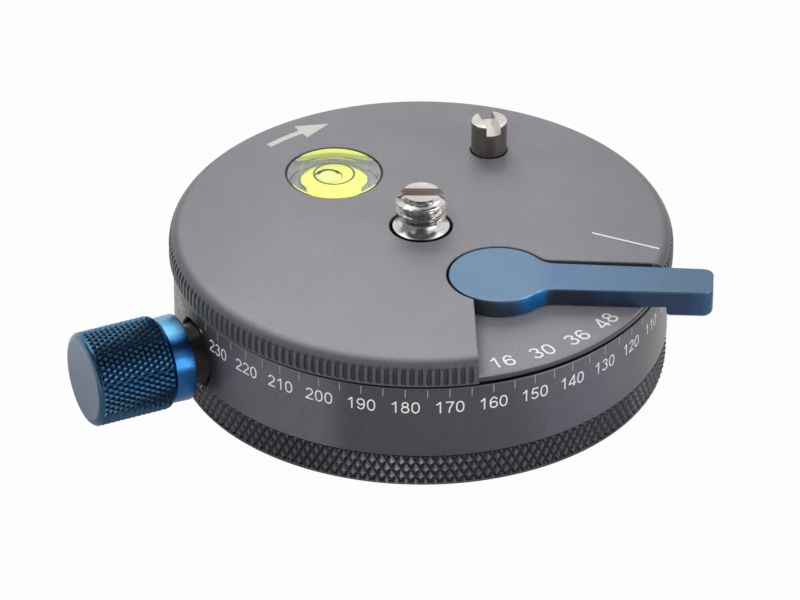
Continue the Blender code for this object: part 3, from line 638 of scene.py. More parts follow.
platform = {
    "radius": 31.5,
    "rimBottom": 14.7,
    "top": 18.05,
    "bottom": 12.9,
    "spigot": 25.2,
    "fillet": 1.8,
    "flutes": 192,
    "fluteDepth": 0.38,
    "fluteEnd": 14.88,
    "fluteShare": 0.29,  # half width of a groove, in pitches
    "fluteRound": 0.28,
    "columns": 12,
    "edge": 0.1,
    "floor": 15.55,
    "floorEdge": 0.24,
    "holeEdge": 0.1,
    "screwHole": 3.98,
    "screwWell": (5.3, 14.3),  # radius, ceiling
    "pinHole": 2.37,
    "pinWell": (3.41, 15.2),
    "levelHole": 6.2,
    "levelDepth": 4.4,
    "leverHole": 3.4,
}
recess = {
    "hub": 6.42,
    "back": 3.65,
    "backRound": 2.4,
    "sideAngle": 241.4,
    "sideHeading": -87.8,
    "reach": 34.0,
    "chamfer": 0.14,
    "leverAngle": -3.0,
    "plainRim": (-77.0, -16.4),  # under the recess the rim has no flutes
}


def rimStrip():
    # One flute of the rim, from the lower edge to the end of the rounded top edge.
    p = platform
    columns, pitch = p["columns"], 360.0 / p["flutes"]
    heights = [(p["radius"], p["rimBottom"])]
    upright = (p["rimBottom"] + p["edge"], p["fluteEnd"], 14.95, 15.04, 15.16, 15.6)
    heights += [(p["radius"], z) for z in upright]
    middle = (p["radius"] - p["fillet"], p["top"] - p["fillet"])
    heights += [
        onCircle(p["fillet"], a, middle)
        for a in (0, 8, 16, 22, 27, 31, 34, 37, 40, 43, 50, 58, 66, 74, 82, 90)
    ]
    points = []
    for level, (radius, z) in enumerate(heights):
        below = max(0.0, p["fluteEnd"] + p["fluteRound"] - z) / p["fluteRound"]
        for i in range(columns + 1):
            across = (i / columns - 0.5) / p["fluteShare"]
            groove = p["radius"] - p["fluteDepth"] * max(0.0, 1.0 - across ** 4 - below ** 4)
            reach = min(radius, groove) - (p["edge"] / 2 if level == 0 else 0.0)
            points.append((*onCircle(reach, pitch * (i / columns - 0.5)), z))
    starts = [level * (columns + 1) for level in range(len(heights))]
    return meshObject("platformTop", points, bands(starts, columns + 1, closed=False))


def cappedPlatform():
    p = platform
    skin = repeated(rimStrip(), p["flutes"], plateGrey, merge=0.004)
    middle = (p["rimBottom"] + p["top"]) / 2
    with edited(skin.data) as shape:
        low = [e for e in shape.edges if e.is_boundary and e.verts[0].co.z < middle * mm]
        high = [e for e in shape.edges if e.is_boundary and e.verts[0].co.z > middle * mm]
        bmesh.ops.contextual_create(shape, geom=high)
        for height in (p["rimBottom"], p["bottom"]):
            low = drawn(shape, low, p["spigot"], height)
        bmesh.ops.contextual_create(shape, geom=low)
        bmesh.ops.recalc_face_normals(shape, faces=shape.faces)
    return skin


def recessOutline():
    # Anticlockwise: in along the rear wall, round its corner, round the hub and out along the side wall.
    r = recess
    rise = r["back"] + r["backRound"]
    along = math.sqrt((r["hub"] + r["backRound"]) ** 2 - rise ** 2)
    toHub = math.degrees(math.atan2(-rise, -along))
    local = [(r["reach"], r["back"])]
    local += arcPoints((along, rise), r["backRound"], -90.0, toHub, 8)
    hubStart = math.degrees(math.atan2(rise, along))
    local += arcPoints((0.0, 0.0), r["hub"], hubStart, r["sideAngle"] - r["leverAngle"], 40)[1:]
    turn = Matrix.Rotation(math.radians(r["leverAngle"]), 2)
    hub = Vector(layout["lever"])
    outline = [tuple(hub + turn @ Vector(point)) for point in local]
    outline.append(onCircle(r["reach"], r["sideHeading"], outline[-1]))
    outline.append(tuple(hub + turn @ Vector((r["reach"], -r["reach"]))))
    return outline


def recessCutter():
    p, outline = platform, recessOutline()
    wide = grown(outline, recess["chamfer"])
    return walled("recessCut", [
        (p["floor"], outline), (p["top"] - recess["chamfer"], outline),
        (p["top"], wide), (p["top"] + 1.0, wide),
    ])


def steppedCut(name, steps, place, sides):
    # A stepped hole, as (radius, height) from its top to its bottom.
    return shifted(turned(name, steps, sides), *place)


def plainUnderRecess(plate):
    # Draws the rim in past its flutes, with a small chamfer at its upper edge.
    p = platform
    start, end = (math.radians(a) for a in recess["plainRim"])
    for vert in plate.data.vertices:
        reach, z = math.hypot(vert.co.x, vert.co.y) / mm, vert.co.z / mm
        if not start < math.atan2(vert.co.y, vert.co.x) < end or reach < p["radius"] - p["fillet"]:
            continue
        if p["rimBottom"] - 0.01 < z < p["floor"] + 0.01:
            limit = p["radius"] - p["fluteDepth"]
            if z > p["floor"] - 0.01:
                limit -= p["floorEdge"]
            if z < p["rimBottom"] + 0.01:
                limit -= 0.02
            if reach > limit:
                vert.co.x *= limit / reach
                vert.co.y *= limit / reach


def makePlatform():
    p = platform
    plate = cappedPlatform()
    carve(plate, recessCutter())
    plainUnderRecess(plate)
    above, deep, edge = p["top"] + 1.0, p["bottom"] - 1.0, p["holeEdge"]
    cuts = []
    for name, place, radius, well, sides in (
        ("screwHole", (0.0, 0.0), p["screwHole"], p["screwWell"], 64),
        ("levelHole", layout["level"], p["levelHole"], None, 96),
        ("pinHole", layout["pin"], p["pinHole"], p["pinWell"], 48),
    ):
        steps = [(radius + edge + 1.0, above), (radius, p["top"] - edge)]
        if well:
            steps += [(radius, well[1]), well, (well[0], deep)]
        else:
            steps.append((radius, p["top"] - p["levelDepth"]))
        cuts.append(steppedCut(name, steps, place, sides))
    bush = [(p["leverHole"], above), (p["leverHole"], deep)]
    cuts.append(steppedCut("bushHole", bush, layout["lever"], 48))
    carve(plate, *cuts)
    dressed(plate, plateGrey, "rotor", ["top_plate"])


makePlatform()
print("platform ready")


# Marks: the scale's numbers and ticks, the click numbers, the index line and the arrow

marks = {
    "scaleRadius": 31.0,
    "inkHeight": 0.012,
    "inkDepth": 0.03,
    "tickWidth": 0.1,
    "tickLow": 12.85,
    "tickHigh": 13.97,
    "numberMiddle": 11.4,
    "numberHeight": 1.62,
    "scaleWeight": 0.11,
    "cutNumber": 240,  # it runs into the round recess behind the knob
    "zeroAngle": 176.59,  # the number that faces the front
    "clickHeight": 2.2,
    "clickWeight": 0.115,
    "clickRadius": 28.8,
    "clickNumbers": {"16": -70.0, "30": -59.2, "36": -48.7, "48": -38.3},
    "indexLine": ((21.26, -1.65), (29.52, -5.30), 0.28),  # ends and width
    "arrowRadius": 27.2,
    "arrowHalf": 0.42,
    "arrowTurn": (135.65, 124.65),
    "arrowHead": [(-16.30, 23.81), (-11.94, 24.46), (-14.60, 21.11)],
}


def oval(x, y, halfWidth, halfHeight, start, end, steps=18, square=2.0):
    # Points on an oval; a larger square value fills its corners.
    points = []
    for i in range(steps + 1):
        a = math.radians(start + (end - start) * i / steps)
        c, s = math.cos(a), math.sin(a)
        across = math.copysign(abs(c) ** (2.0 / square), c)
        up = math.copysign(abs(s) ** (2.0 / square), s)
        points.append((x + halfWidth * across, y + halfHeight * up))
    return points


digitAdvance = 0.777  # all sizes of the digits are shares of their height
digitStrokes = {
    "0": [oval(0.388, 0.5, 0.262, 0.445, 0, 360, 28, 2.35)],
    "1": [[(0.46, 0.0), (0.46, 1.0)], [(0.165, 0.735), (0.31, 0.815), (0.43, 0.965)]],
    "2": [oval(0.385, 0.69, 0.255, 0.255, 168, -28, 16) + [(0.12, 0.1)], [(0.06, 0.055), (0.7, 0.055)]],
    "3": [oval(0.37, 0.745, 0.225, 0.2, 165, -90, 16), oval(0.37, 0.3, 0.268, 0.245, 90, -165, 18)],
    "4": [[(0.545, 0.0), (0.545, 1.0)], [(0.52, 0.95), (0.085, 0.275)], [(0.035, 0.245), (0.74, 0.245)]],
    "5": [
        [(0.67, 0.945), (0.19, 0.945)], [(0.225, 0.95), (0.15, 0.5)],
        oval(0.375, 0.32, 0.268, 0.262, 142, -160, 18),
    ],
    "6": [
        oval(0.405, 0.31, 0.262, 0.255, 0, 360, 24),
        oval(0.41, 0.52, 0.275, 0.425, 33, 180, 14) + [(0.14, 0.33)],
    ],
    "7": [[(0.07, 0.945), (0.7, 0.945)], [(0.67, 0.93), (0.5, 0.66), (0.375, 0.33), (0.325, 0.0)]],
    "8": [oval(0.388, 0.745, 0.212, 0.2, 0, 360, 22), oval(0.388, 0.295, 0.265, 0.24, 0, 360, 24)],
}
digitStrokes["9"] = [[(digitAdvance - x, 1.0 - y) for x, y in path] for path in digitStrokes["6"]]


def strokeSides(path, width):
    # The two sides of a pen stroke, mitred at its bends.
    closed = (Vector(path[0]) - Vector(path[-1])).length < 0.001
    points = [Vector(p) for p in (path[:-1] if closed else path)]
    last = len(points) - 1
    sides = []
    for i, here in enumerate(points):
        before = points[i - 1] if closed or i > 0 else here * 2 - points[1]
        after = points[(i + 1) % (last + 1)] if closed or i < last else here * 2 - points[last - 1]
        a, b = (here - before).normalized(), (after - here).normalized()
        across = Vector((-a.y - b.y, a.x + b.x)) * (width / 2 / (1.0 + a.dot(b)))
        sides.append((here + across, here - across))
    return sides, closed


def numberShape(text, height, weight):
    # Flat strokes centred on the origin; each lies a touch above the one before it.
    shape = bmesh.new()
    layer = 0
    for place, digit in enumerate(text):
        left = (place - len(text) / 2) * digitAdvance
        for path in digitStrokes[digit]:
            sides, closed = strokeSides(path, weight)
            made = [
                [shape.verts.new(((p.x + left) * height, (p.y - 0.5) * height, layer * 0.03)) for p in pair]
                for pair in sides
            ]
            for i in range(len(made) if closed else len(made) - 1):
                (a, b), (c, d) = made[i], made[(i + 1) % len(made)]
                shape.faces.new((a, b, d, c))
            layer += 1
    return shape


def inked(name, shape, placePoint):
    # Gives the flat shape its depth and puts each point where placePoint says, in millimetres.
    base = bmesh.ops.extrude_face_region(shape, geom=shape.faces[:])
    for item in base["geom"]:
        if isinstance(item, bmesh.types.BMVert):
            item.co.z += 1.0
    for vert in shape.verts:
        x, y, z = placePoint(vert.co.x, vert.co.y, vert.co.z)
        vert.co = (x * mm, y * mm, z * mm)
    bmesh.ops.recalc_face_normals(shape, faces=shape.faces)
    return shapeObject(name, shape)


def scaleDirection(degree):
    # World angle of a degree of the scale; the numbers grow clockwise seen from above.
    return -90.0 - (degree - marks["zeroAngle"])


def inkLayer(level):
    return marks["inkHeight"] - marks["inkDepth"] * (1.0 - level)


def makeScaleNumbers():
    m = marks
    pieces = []
    for degree in range(0, 360, 10):
        facing = math.radians(scaleDirection(degree))

        def onRing(x, y, level, facing=facing):
            angle = facing + x / m["scaleRadius"]
            radius = m["scaleRadius"] + inkLayer(level)
            return (radius * math.cos(angle), radius * math.sin(angle), m["numberMiddle"] + y)

        number = inked("number", numberShape(str(degree), m["numberHeight"], m["scaleWeight"]), onRing)
        if degree == m["cutNumber"]:
            carve(number, spotFaceCut("numberCut", 0.4))
        pieces.append(number)
    dressed(joined("scaleNumbers", *pieces), inkWhite, "base", crease=60.0)


def makeScaleTicks():
    m = marks
    half = m["tickWidth"] / 2
    near, far = m["scaleRadius"] - 0.02, m["scaleRadius"] + m["inkHeight"]
    tick = box("scaleTicks", (near, -half, m["tickLow"]), (far, half, m["tickHigh"]))
    ticks = repeated(tick, 72, inkWhite, startTurn=scaleDirection(0))
    dressed(ticks, tickGrey, "base", crease=60.0)


def makeClickNumbers():
    m = marks
    pieces = []
    for text, degrees in m["clickNumbers"].items():
        turn = Matrix.Rotation(math.radians(degrees + 90.0), 2)
        middle = Vector(onCircle(m["clickRadius"], degrees))

        def onFloor(x, y, level, turn=turn, middle=middle):
            point = middle + turn @ Vector((x, y))
            return (point.x, point.y, platform["floor"] + inkLayer(level))

        pieces.append(inked("number", numberShape(text, m["clickHeight"], m["clickWeight"]), onFloor))
    dressed(joined("clickNumbers", *pieces), inkWhite, "rotor", crease=60.0)


def flatMark(name, outline, material):
    top = platform["top"]
    mark = walled(name, [(top + inkLayer(0.0), outline), (top + inkLayer(1.0), outline)])
    dressed(mark, material, "rotor", crease=60.0)


def makeIndexLine():
    start, end, width = marks["indexLine"]
    along = (Vector(end) - Vector(start)).normalized()
    across = Vector((-along.y, along.x)) * width / 2
    corners = [Vector(start) - across, Vector(end) - across, Vector(end) + across, Vector(start) + across]
    flatMark("indexLine", [tuple(c) for c in corners], inkWhite)


def makeArrow():
    # The shaft bends along the rim; the head is straight.
    m = marks
    start, end = m["arrowTurn"]
    outer = arcPoints((0.0, 0.0), m["arrowRadius"] + m["arrowHalf"], start, end, 6)
    inner = arcPoints((0.0, 0.0), m["arrowRadius"] - m["arrowHalf"], end, start, 6)
    flatMark("turnArrow", outer + m["arrowHead"] + inner, inkSilver)


makeClickNumbers()
makeIndexLine()
makeArrow()


# Scale ring and foot

ring = {
    "radius": 31.0,
    "bore": 26.8,
    "low": 4.3,
    "high": 14.12,
    "topEdge": 0.2,
    "lowEdge": 0.1,
    "spotFace": 4.2,
    "spotStart": 29.6,
    "spotEdge": 30.2,
    "glandHole": 3.1,
}
foot = {
    "radius": 31.0,
    "knurlDepth": 0.41,
    "diamonds": 162,
    "diamondRows": 2,
    "knurlLow": 0.02,
    "knurlHigh": 4.18,
    "sleeve": 30.4,
    "high": 4.3,
    "edge": 0.3,
    "floor": 3.0,
    "floorReach": 26.6,
    "socketHole": 6.75,
    "plainRadius": 30.8,
    "plainHeight": 0.3,
    # head, its height, shank and how deep it is sunk
    "screws": {"foot_screw": (1.8, 0.9, 0.95, 0.2), "housing_screw": (1.69, 0.8, 0.91, 0.2)},
    "screwGap": 0.06,
}


def onClampAxis(obj):
    # From a piece made about Z, with distances from the turning axis as heights, to its place at the side.
    spun(obj, 90.0, "Y")
    spun(obj, layout["clampAngle"])
    return shifted(obj, z=layout["clampHeight"])


def spotFaceCut(name, wider=0.0):
    size = ring["spotFace"] + wider
    steps = [(size + 1.2, ring["radius"] + 1.2), (size, ring["spotEdge"]), (size, ring["spotStart"])]
    return onClampAxis(turned(name, steps, 64))


def makeScaleRing():
    r = ring
    e = r["topEdge"]
    profile = [(r["radius"] - e, r["high"])]
    profile += arcPoints((r["radius"] - e, r["high"] - e), e, 67.5, 0.0, 3)
    profile += [(r["radius"], r["low"] + r["lowEdge"]), (r["radius"] - r["lowEdge"], r["low"])]
    profile += [(r["bore"], r["low"]), (r["bore"], r["high"])]
    body = turned("scaleRing", profile, 256, loop=True)
    carve(body, spotFaceCut("spotFace"))
    carve(body, onClampAxis(turned("glandHole", [(r["glandHole"], 33.0), (r["glandHole"], 25.0)], 48)))
    dressed(body, ringGrey, "base", ["scale_ring"])


def screwSinks():
    # Room for the countersunk screws that are driven in from below.
    sinks = []
    gap = foot["screwGap"]
    for kind, (head, headHeight, shank, sink) in foot["screws"].items():
        narrow, wide = shank + gap, head + gap
        profile = [(narrow, 5.0), (narrow, sink + headHeight), (wide, sink), (wide, -1.0)]
        for name in sorted(n for n in nodes if n.startswith(kind)):
            low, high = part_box(name)
            middle = (low + high) / 2 / mm
            sinks.append(shifted(turned(name + "Sink", profile, 32), middle.x, middle.y))
    return sinks


def makeFoot():
    f = foot
    radius, high, edge, hole = f["radius"], f["high"], f["edge"], f["socketHole"]
    sleeve = knurled(
        "footKnurl", radius, f["knurlDepth"], f["diamonds"], f["diamondRows"],
        f["knurlLow"], f["knurlHigh"], f["sleeve"], footBlack)
    envelope = [(radius + 0.1, high + 1.0), (radius + 0.1, edge + 0.1), (radius - edge, 0.0)]
    carve(sleeve, turned("footEnvelope", envelope, 256), operation="INTERSECT")
    root, plain, plainHigh = radius - f["knurlDepth"] - 0.02, f["plainRadius"], f["plainHeight"]
    core = turned("footCore", [
        (root, high), (root, plainHigh + 0.1), (plain, plainHigh), (plain, 0.0), (hole + 0.15, 0.0),
        (hole, 0.15), (hole, f["floor"]), (f["floorReach"], f["floor"]), (f["floorReach"], high),
    ], 256, loop=True)
    carve(core, *screwSinks())
    carve(core, spotFaceCut("coreSpotFace"))
    carve(sleeve, spotFaceCut("sleeveSpotFace"))
    body = joined("knurledFoot", sleeve, core)
    dressed(body, footBlack, "base", ["base_disc"], crease=20.0)


makeScaleRing()
makeScaleNumbers()
makeScaleTicks()
makeFoot()
print("ring, scale and foot ready")


# Clamp knob

knob = {
    "start": 32.75,
    "collar": 5.46,
    "collarTaper": 0.07,
    "collarEdge": 0.18,
    "collarEnd": 35.55,
    "grooveRadius": 4.75,
    "gripStart": 35.8,
    "gripEnd": 45.78,
    "grip": 5.96,
    "knurlDepth": 0.34,
    "diamonds": 47,
    "diamondRows": 7,
    "endRound": 0.8,
    "plainRim": 0.55,
    "bore": 2.1,
}


def makeKnob():
    k = knob
    grip, start, end, bore = k["grip"], k["gripStart"], k["gripEnd"], k["bore"]
    rimStart = end - k["plainRim"]
    body = knurled(
        "gripKnurl", grip, k["knurlDepth"], k["diamonds"], k["diamondRows"],
        start, rimStart + 0.05, bore, gripBlue)
    envelope = [(grip + 0.1, end), (grip + 0.1, start + 0.35), (grip - 0.4, start - 0.1)]
    carve(body, turned("gripEnvelope", envelope, 96), operation="INTERSECT")
    corner, sunk = k["endRound"], end - 0.02
    face = grip - 0.12 - corner
    cap = [(face, sunk)]
    for step in range(1, 9):
        a = math.pi / 2 * step / 8
        cap.append((face + corner * math.sin(a), sunk - k["plainRim"] * (1.0 - math.cos(a))))
    cap += [(face + corner, rimStart - 0.04), (face, rimStart - 0.04)]
    whole = joined("clampGrip", body, turned("gripEnd", cap, 96))
    dressed(onClampAxis(whole), gripBlue, "clamp", ["clamp_knob"], crease=20.0)
    blasting = turned("clampEndFace", [(face, end), (face + 0.05, sunk - 0.02)], 96)
    dressed(onClampAxis(blasting), endBlue, "clamp")
    near, far, wide, edge = k["start"], k["collarEnd"], k["collar"], k["collarEdge"]
    narrow = wide - k["collarTaper"]
    band = turned("clampCollar", [
        (k["grooveRadius"], start + 0.02), (k["grooveRadius"], far),
        (narrow - edge, far), (narrow, far - edge),
        (wide, near + 0.3), (wide - 0.09, near + 0.09), (wide - 0.3, near),
        (bore, near), (bore, start + 0.02),
    ], 96, loop=True)
    mapTurning(band)
    dressed(onClampAxis(band), collarBlue, "clamp")


gland = {
    "mouth": [
        (3.5, 32.6), (3.56, 32.5), (3.6, 32.0), (3.68, 31.5), (3.8, 31.0),
        (3.96, 30.55), (4.1, 30.2), (4.12, 29.95), (4.12, 29.7),
    ],
    "body": 2.9,
    "bodyStart": 26.9,
    "bore": 2.1,
}


def makeGland():
    # The dark sleeve between collar and ring, flared towards the ring.
    mouth, body, bore, start = gland["mouth"], gland["body"], gland["bore"], gland["bodyStart"]
    profile = mouth + [(body, mouth[-1][1]), (body, start), (bore, start), (bore, mouth[0][1])]
    sleeve = onClampAxis(turned("clampGland", profile, 96, loop=True))
    dressed(sleeve, glandBlack, "base", ["clamp_gland"], crease=40.0)


makeKnob()
makeGland()
print("knob ready")


# Selector lever

lever = {
    "hub": 6.15,
    "root": 3.05,
    "tip": 2.75,
    "reach": 26.43,
    "fillet": 3.0,
    "corner": 1.3,
    "bottom": 15.7,
    "top": 18.05,
    "hookStart": 20.75,
    "hookBottom": 14.3,
    "hookRound": 0.75,
    "shaftHole": (2.3, 17.1),
    "edge": 0.14,
    "cornerSteps": 8,
    "roundSteps": 5,
}


def halfLever():
    # From the middle of the tip round its corner, along the arm and round the hub to the far side.
    v = lever
    slope = (v["tip"] - v["root"]) / v["reach"]
    lean = math.degrees(math.atan(slope))
    corner = (v["reach"] - v["corner"], v["tip"] - v["corner"])
    points = arcPoints(corner, v["corner"], 0.0, 90.0 + lean, v["cornerSteps"])
    points.append((v["hookStart"], v["root"] + slope * v["hookStart"]))
    lift = v["root"] + v["fillet"] * math.sqrt(1 + slope * slope)
    reach = v["hub"] + v["fillet"]
    a, b, c = 1 + slope * slope, 2 * lift * slope, lift * lift - reach * reach
    x = (-b + math.sqrt(b * b - 4 * a * c)) / (2 * a)
    centre = (x, lift + slope * x)
    toHub = math.degrees(math.atan2(-centre[1], -centre[0]))
    points += arcPoints(centre, v["fillet"], -90.0 + lean, toHub, 10)
    points += arcPoints((0.0, 0.0), v["hub"], math.degrees(math.atan2(centre[1], centre[0])), 180.0, 32)[1:]
    return points


def mirrored(half):
    return half + [(x, -y) for x, y in reversed(half) if abs(y) > 0.001]


def makeLever():
    # The hook at the tip goes on downwards from the lever's own outline, with its lower edge rounded.
    v = lever
    outline = mirrored(halfLever())
    count, last = len(outline), len(outline) - 1
    tipEnd = v["cornerSteps"] + 1
    tip = [last - i for i in range(tipEnd, -1, -1)] + list(range(tipEnd + 1))
    points = [(x, y, z) for z in (v["top"], v["bottom"]) for x, y in outline]
    faces = [tuple(range(count)), tuple(count + i for i in range(tipEnd, last - tipEnd + 1))]
    faces += [(i, (i + 1) % count, count + (i + 1) % count, count + i) for i in range(count)]
    plan = [outline[i] for i in tip]
    above = [count + i for i in tip]
    for step in range(v["roundSteps"] + 1):
        a = math.pi / 2 * step / v["roundSteps"]
        here = [len(points) + i for i in range(len(plan))]
        height = v["hookBottom"] + v["hookRound"] * (1.0 - math.sin(a))
        points += [(x, y, height) for x, y in grown(plan, -v["hookRound"] * (1.0 - math.cos(a)))]
        faces += [(above[i - 1], above[i], here[i], here[i - 1]) for i in range(len(plan))]
        above = here
    faces.append(tuple(above))
    body = outward(meshObject("selectorLever", points, faces))
    softened(body, v["edge"], 2, 40.0)
    spun(body, recess["leverAngle"])
    shifted(body, *layout["lever"])
    bore, ceiling = v["shaftHole"]
    carve(body, steppedCut("shaftSocket", [(bore, ceiling), (bore, v["bottom"] - 1.7)], layout["lever"], 48))
    dressed(body, leverBlue, "selector", ["selector_lever"])


makeLever()
print("lever ready")


# Camera screw and pin

cameraScrew = {
    "top": 22.9,
    "crest": 3.175,
    "root": 2.5,
    "pitch": 1.27,
    "threadStart": 19.35,
    "headFace": 2.3,
    "headChamfer": 0.875,
    "neck": 2.5,
    "foot": 3.55,
    "straight": 0.7,
    "flange": 5.2,
    "flangeHeight": 14.2,
    "bottom": 13.0,
    "slotWidth": 1.7,
    "slotDepth": 1.35,
    "sides": 96,
}


def threadHeight(turns, crestFlat=0.14, rootFlat=0.22):
    # 0 in the groove and 1 on the crest, for a place along the pitch counted in turns.
    u = abs(turns - math.floor(turns) - 0.5) * 2.0
    rise = (1.0 - crestFlat) - rootFlat
    return min(1.0, max(0.0, ((1.0 - rootFlat) - u) / rise)) if u > crestFlat else 1.0


def threaded(envelope, low, high, root, crest, pitch, columns, inside=False):
    # A turned skin on which the thread shows wherever the envelope leaves room for it.
    points = []
    for limit, z in envelope:
        for i in range(columns):
            radius = limit
            if low <= z <= high:
                cut = root + (crest - root) * threadHeight(z / pitch - i / columns)
                radius = max(limit, cut) if inside else min(limit, cut)
            points.append((*onCircle(radius, 360.0 * i / columns), z))
    return points, bands([row * columns for row in range(len(envelope))], columns)


def makeCameraScrew():
    s = cameraScrew
    top, start, sides = s["top"], s["threadStart"], s["sides"]
    flare = s["foot"] - s["neck"]
    flareTop = platform["top"] + flare
    envelope = []
    z = top
    while z > start:
        limit = s["crest"]
        if z >= top - s["headChamfer"]:
            limit = s["headFace"] + (top - z) / s["headChamfer"] * (s["crest"] - s["headFace"])
        envelope.append((min(limit, s["neck"] + (z - start) * 1.7), z))
        z -= s["pitch"] / 18
    envelope.append((s["neck"], start))
    curve, straight = 1.0 - s["straight"], s["straight"]
    for a in range(180, 271, 10):  # a hollow cone: between a straight one and a quarter round
        radius, height = onCircle(flare, a, (s["foot"], flareTop))
        part = flare * (a - 180.0) / 90.0
        radius = radius * curve + (s["neck"] + part) * straight
        envelope.append((radius, height * curve + (flareTop - part) * straight))
    envelope += [(s["foot"], s["flangeHeight"]), (s["flange"], s["flangeHeight"]), (s["flange"], s["bottom"])]
    points, faces = threaded(envelope, start + 0.001, top + 0.01, s["root"], s["crest"], s["pitch"], sides)
    faces += [tuple(range(sides)), tuple(range(len(points) - sides, len(points)))]
    body = outward(meshObject("cameraScrew", points, faces))
    half = s["slotWidth"] / 2
    carve(body, box("screwSlot", (-5.0, -half, top - s["slotDepth"]), (5.0, half, top + 1.0)))
    dressed(body, turnedSteel, "camera_screw", ["camera_screw"], crease=38.0)


pin = {
    "radius": 2.27,
    "top": 22.45,
    "bottom": 14.15,
    "edge": 0.25,
    "slotWidth": 1.85,
    "slotDepth": 1.22,
    "slotAngle": -74.0,
}


def makePin():
    p = pin
    profile = [(p["radius"] - p["edge"], p["top"])]
    profile += arcPoints((p["radius"] - p["edge"], p["top"] - p["edge"]), p["edge"], 60.0, 0.0, 3)
    profile.append((p["radius"], p["bottom"]))
    body = turned("antiTwistPin", profile, 64)
    half = p["slotWidth"] / 2
    slot = box("pinSlot", (-4.0, -half, p["top"] - p["slotDepth"]), (4.0, half, p["top"] + 1.0))
    carve(body, spun(slot, p["slotAngle"]))
    shifted(body, *layout["pin"])
    dressed(body, pinSteel, "anti_twist_pin", ["anti_twist_pin"])


makeCameraScrew()
makePin()
print("screw and pin ready")


# Round level: a clear block with a coloured plug, a chamber of liquid, a ring line and a bubble

level = {
    "radius": 5.95,
    "top": 18.0,
    "bottom": 13.8,
    "edge": 0.1,
    "chamberEdge": 0.25,
    "plugRadius": 4.4,
    "plugTop": 14.9,
    "chamberRadius": 4.55,
    "chamberTop": 17.45,
    "lineRadius": 2.55,
    "lineWidth": 0.28,
    "lineHeight": 17.62,
    "bubble": (-0.7, -0.2),
    "bubbleRadius": 1.8,
    "bubbleHeight": 0.8,
    "plugFoot": 4.38,
    "footRadius": 5.65,
    "gapShadowTop": 17.8,
    "glow": 0.38,  # the plug gives off painted light, in place of the light that would reach it through the clear block
}


def clearFinish(name, ior, dark, light):
    material, tree, shader = finish(name, 0.02, 0.0, ior=ior, transmission=1.0)
    tinted(shader, spread(grainNoise(tree, 300.0)), (*dark, 1.0), (*light, 1.0))
    return material


def washer(name, inner, outer, top, bottom):
    return turned(name, [(inner, top), (outer, top), (outer, bottom), (inner, bottom)], 72, loop=True)


def makeLevel():
    v = level
    clear = clearFinish("vialAcrylic", 1.49, (0.96, 0.97, 0.96), (0.98, 0.99, 0.98))
    liquid = clearFinish("vialLiquid", 0.94, (0.97, 0.99, 0.86), (0.99, 1.0, 0.9))
    air = clearFinish("vialBubble", 0.8, (0.84, 0.84, 0.96), (0.86, 0.86, 0.98))
    # the plug's emission is painted light; it is no lamp
    paintedGlowPlug = blasted("vialPlug", (204, 216, 92), (218, 228, 110), 0.4, 0.0, grain=900.0, bump=0.02)
    feed(paintedGlowPlug.node_tree.nodes["Principled BSDF"], {
        "Emission Color": rgb(232, 242, 128),
        "Emission Strength": v["glow"],
    })
    frosted = blasted("vialRim", (164, 164, 184), (174, 174, 194), 0.5, 0.0, grain=900.0, bump=0.02)
    # painted shadow: a black ring fills the gap round the block
    gapShadowBlack = blasted("vialGapShadow", (18, 18, 19), (28, 28, 29), 0.6, 0.0, grain=1800.0)
    ink = blasted("vialLine", (84, 74, 58), (98, 88, 70), 0.5, 0.0)
    radius, foot, top, bottom, edge = v["radius"], v["footRadius"], v["top"], v["bottom"], v["edge"]
    block = turned("levelBody", [(radius - edge, top), (radius, top - edge), (foot, bottom)], 96)
    wide, roof, edge = v["chamberRadius"], v["chamberTop"], v["chamberEdge"]
    plug, plugTop = v["plugRadius"], v["plugTop"]
    chamber = turned("levelChamber", [(wide - edge, roof), (wide, roof - edge), (wide, plugTop + 0.01)], 96)
    core = turned("levelPlug", [
        (plug - 0.05, plugTop), (plug, plugTop - 0.05), (v["plugFoot"], bottom + 0.02),
    ], 72)
    rim = washer("levelRim", v["plugFoot"] - 0.1, foot - 0.05, bottom + 0.12, bottom + 0.02)
    hole = platform["levelHole"] - 0.02
    # the black ring in the gap round the clear block stands in for its shadow
    gapShadowRing = turned("levelGapShadow", [
        (radius + 0.02, v["gapShadowTop"]), (hole, v["gapShadowTop"]), (hole, bottom), (foot + 0.02, bottom),
    ], 96, loop=True)
    half = v["lineWidth"] / 2
    line, lineTop = v["lineRadius"], v["lineHeight"]
    circle = washer("levelCircle", line - half, line + half, lineTop, lineTop - 0.03)
    r, h = v["bubbleRadius"], v["bubbleHeight"]
    high = roof - 0.05
    skin = [(r * 0.62, high)]
    skin += [
        (r * math.sin(a), high - h / 2 + h / 2 * math.cos(a))
        for a in map(math.radians, range(50, 180, 10))
    ]
    bubble = shifted(turned("levelBubble", skin, 48), *v["bubble"])
    for piece in (block, chamber, bubble):
        piece.visible_shadow = False  # light falls through these on what they hold
    for piece, material, slotName, replaced in (
        (block, clear, "clear_resin", ["level_body"]),
        (chamber, liquid, "clear_resin", ["level_liquid"]),
        (bubble, air, "clear_resin", []),
        (core, paintedGlowPlug, "level_green", ["level_base"]),
        (rim, frosted, "level_white", []),
        (gapShadowRing, gapShadowBlack, "dark_steel", []),
        (circle, ink, "level_green", []),
    ):
        dressed(shifted(piece, *layout["level"]), material, "rotor", replaced)


makeLevel()
print("level ready")


# Tripod socket, seen from below

socket = {
    "radius": 6.65,
    "flange": 8.2,
    "flangeLow": 3.0,
    "flangeTop": 5.4,
    "crest": 4.0,
    "root": 4.75,
    "mouth": 4.85,
    "pitch": 1.5875,
    "low": 0.1,
    "sides": 72,
}


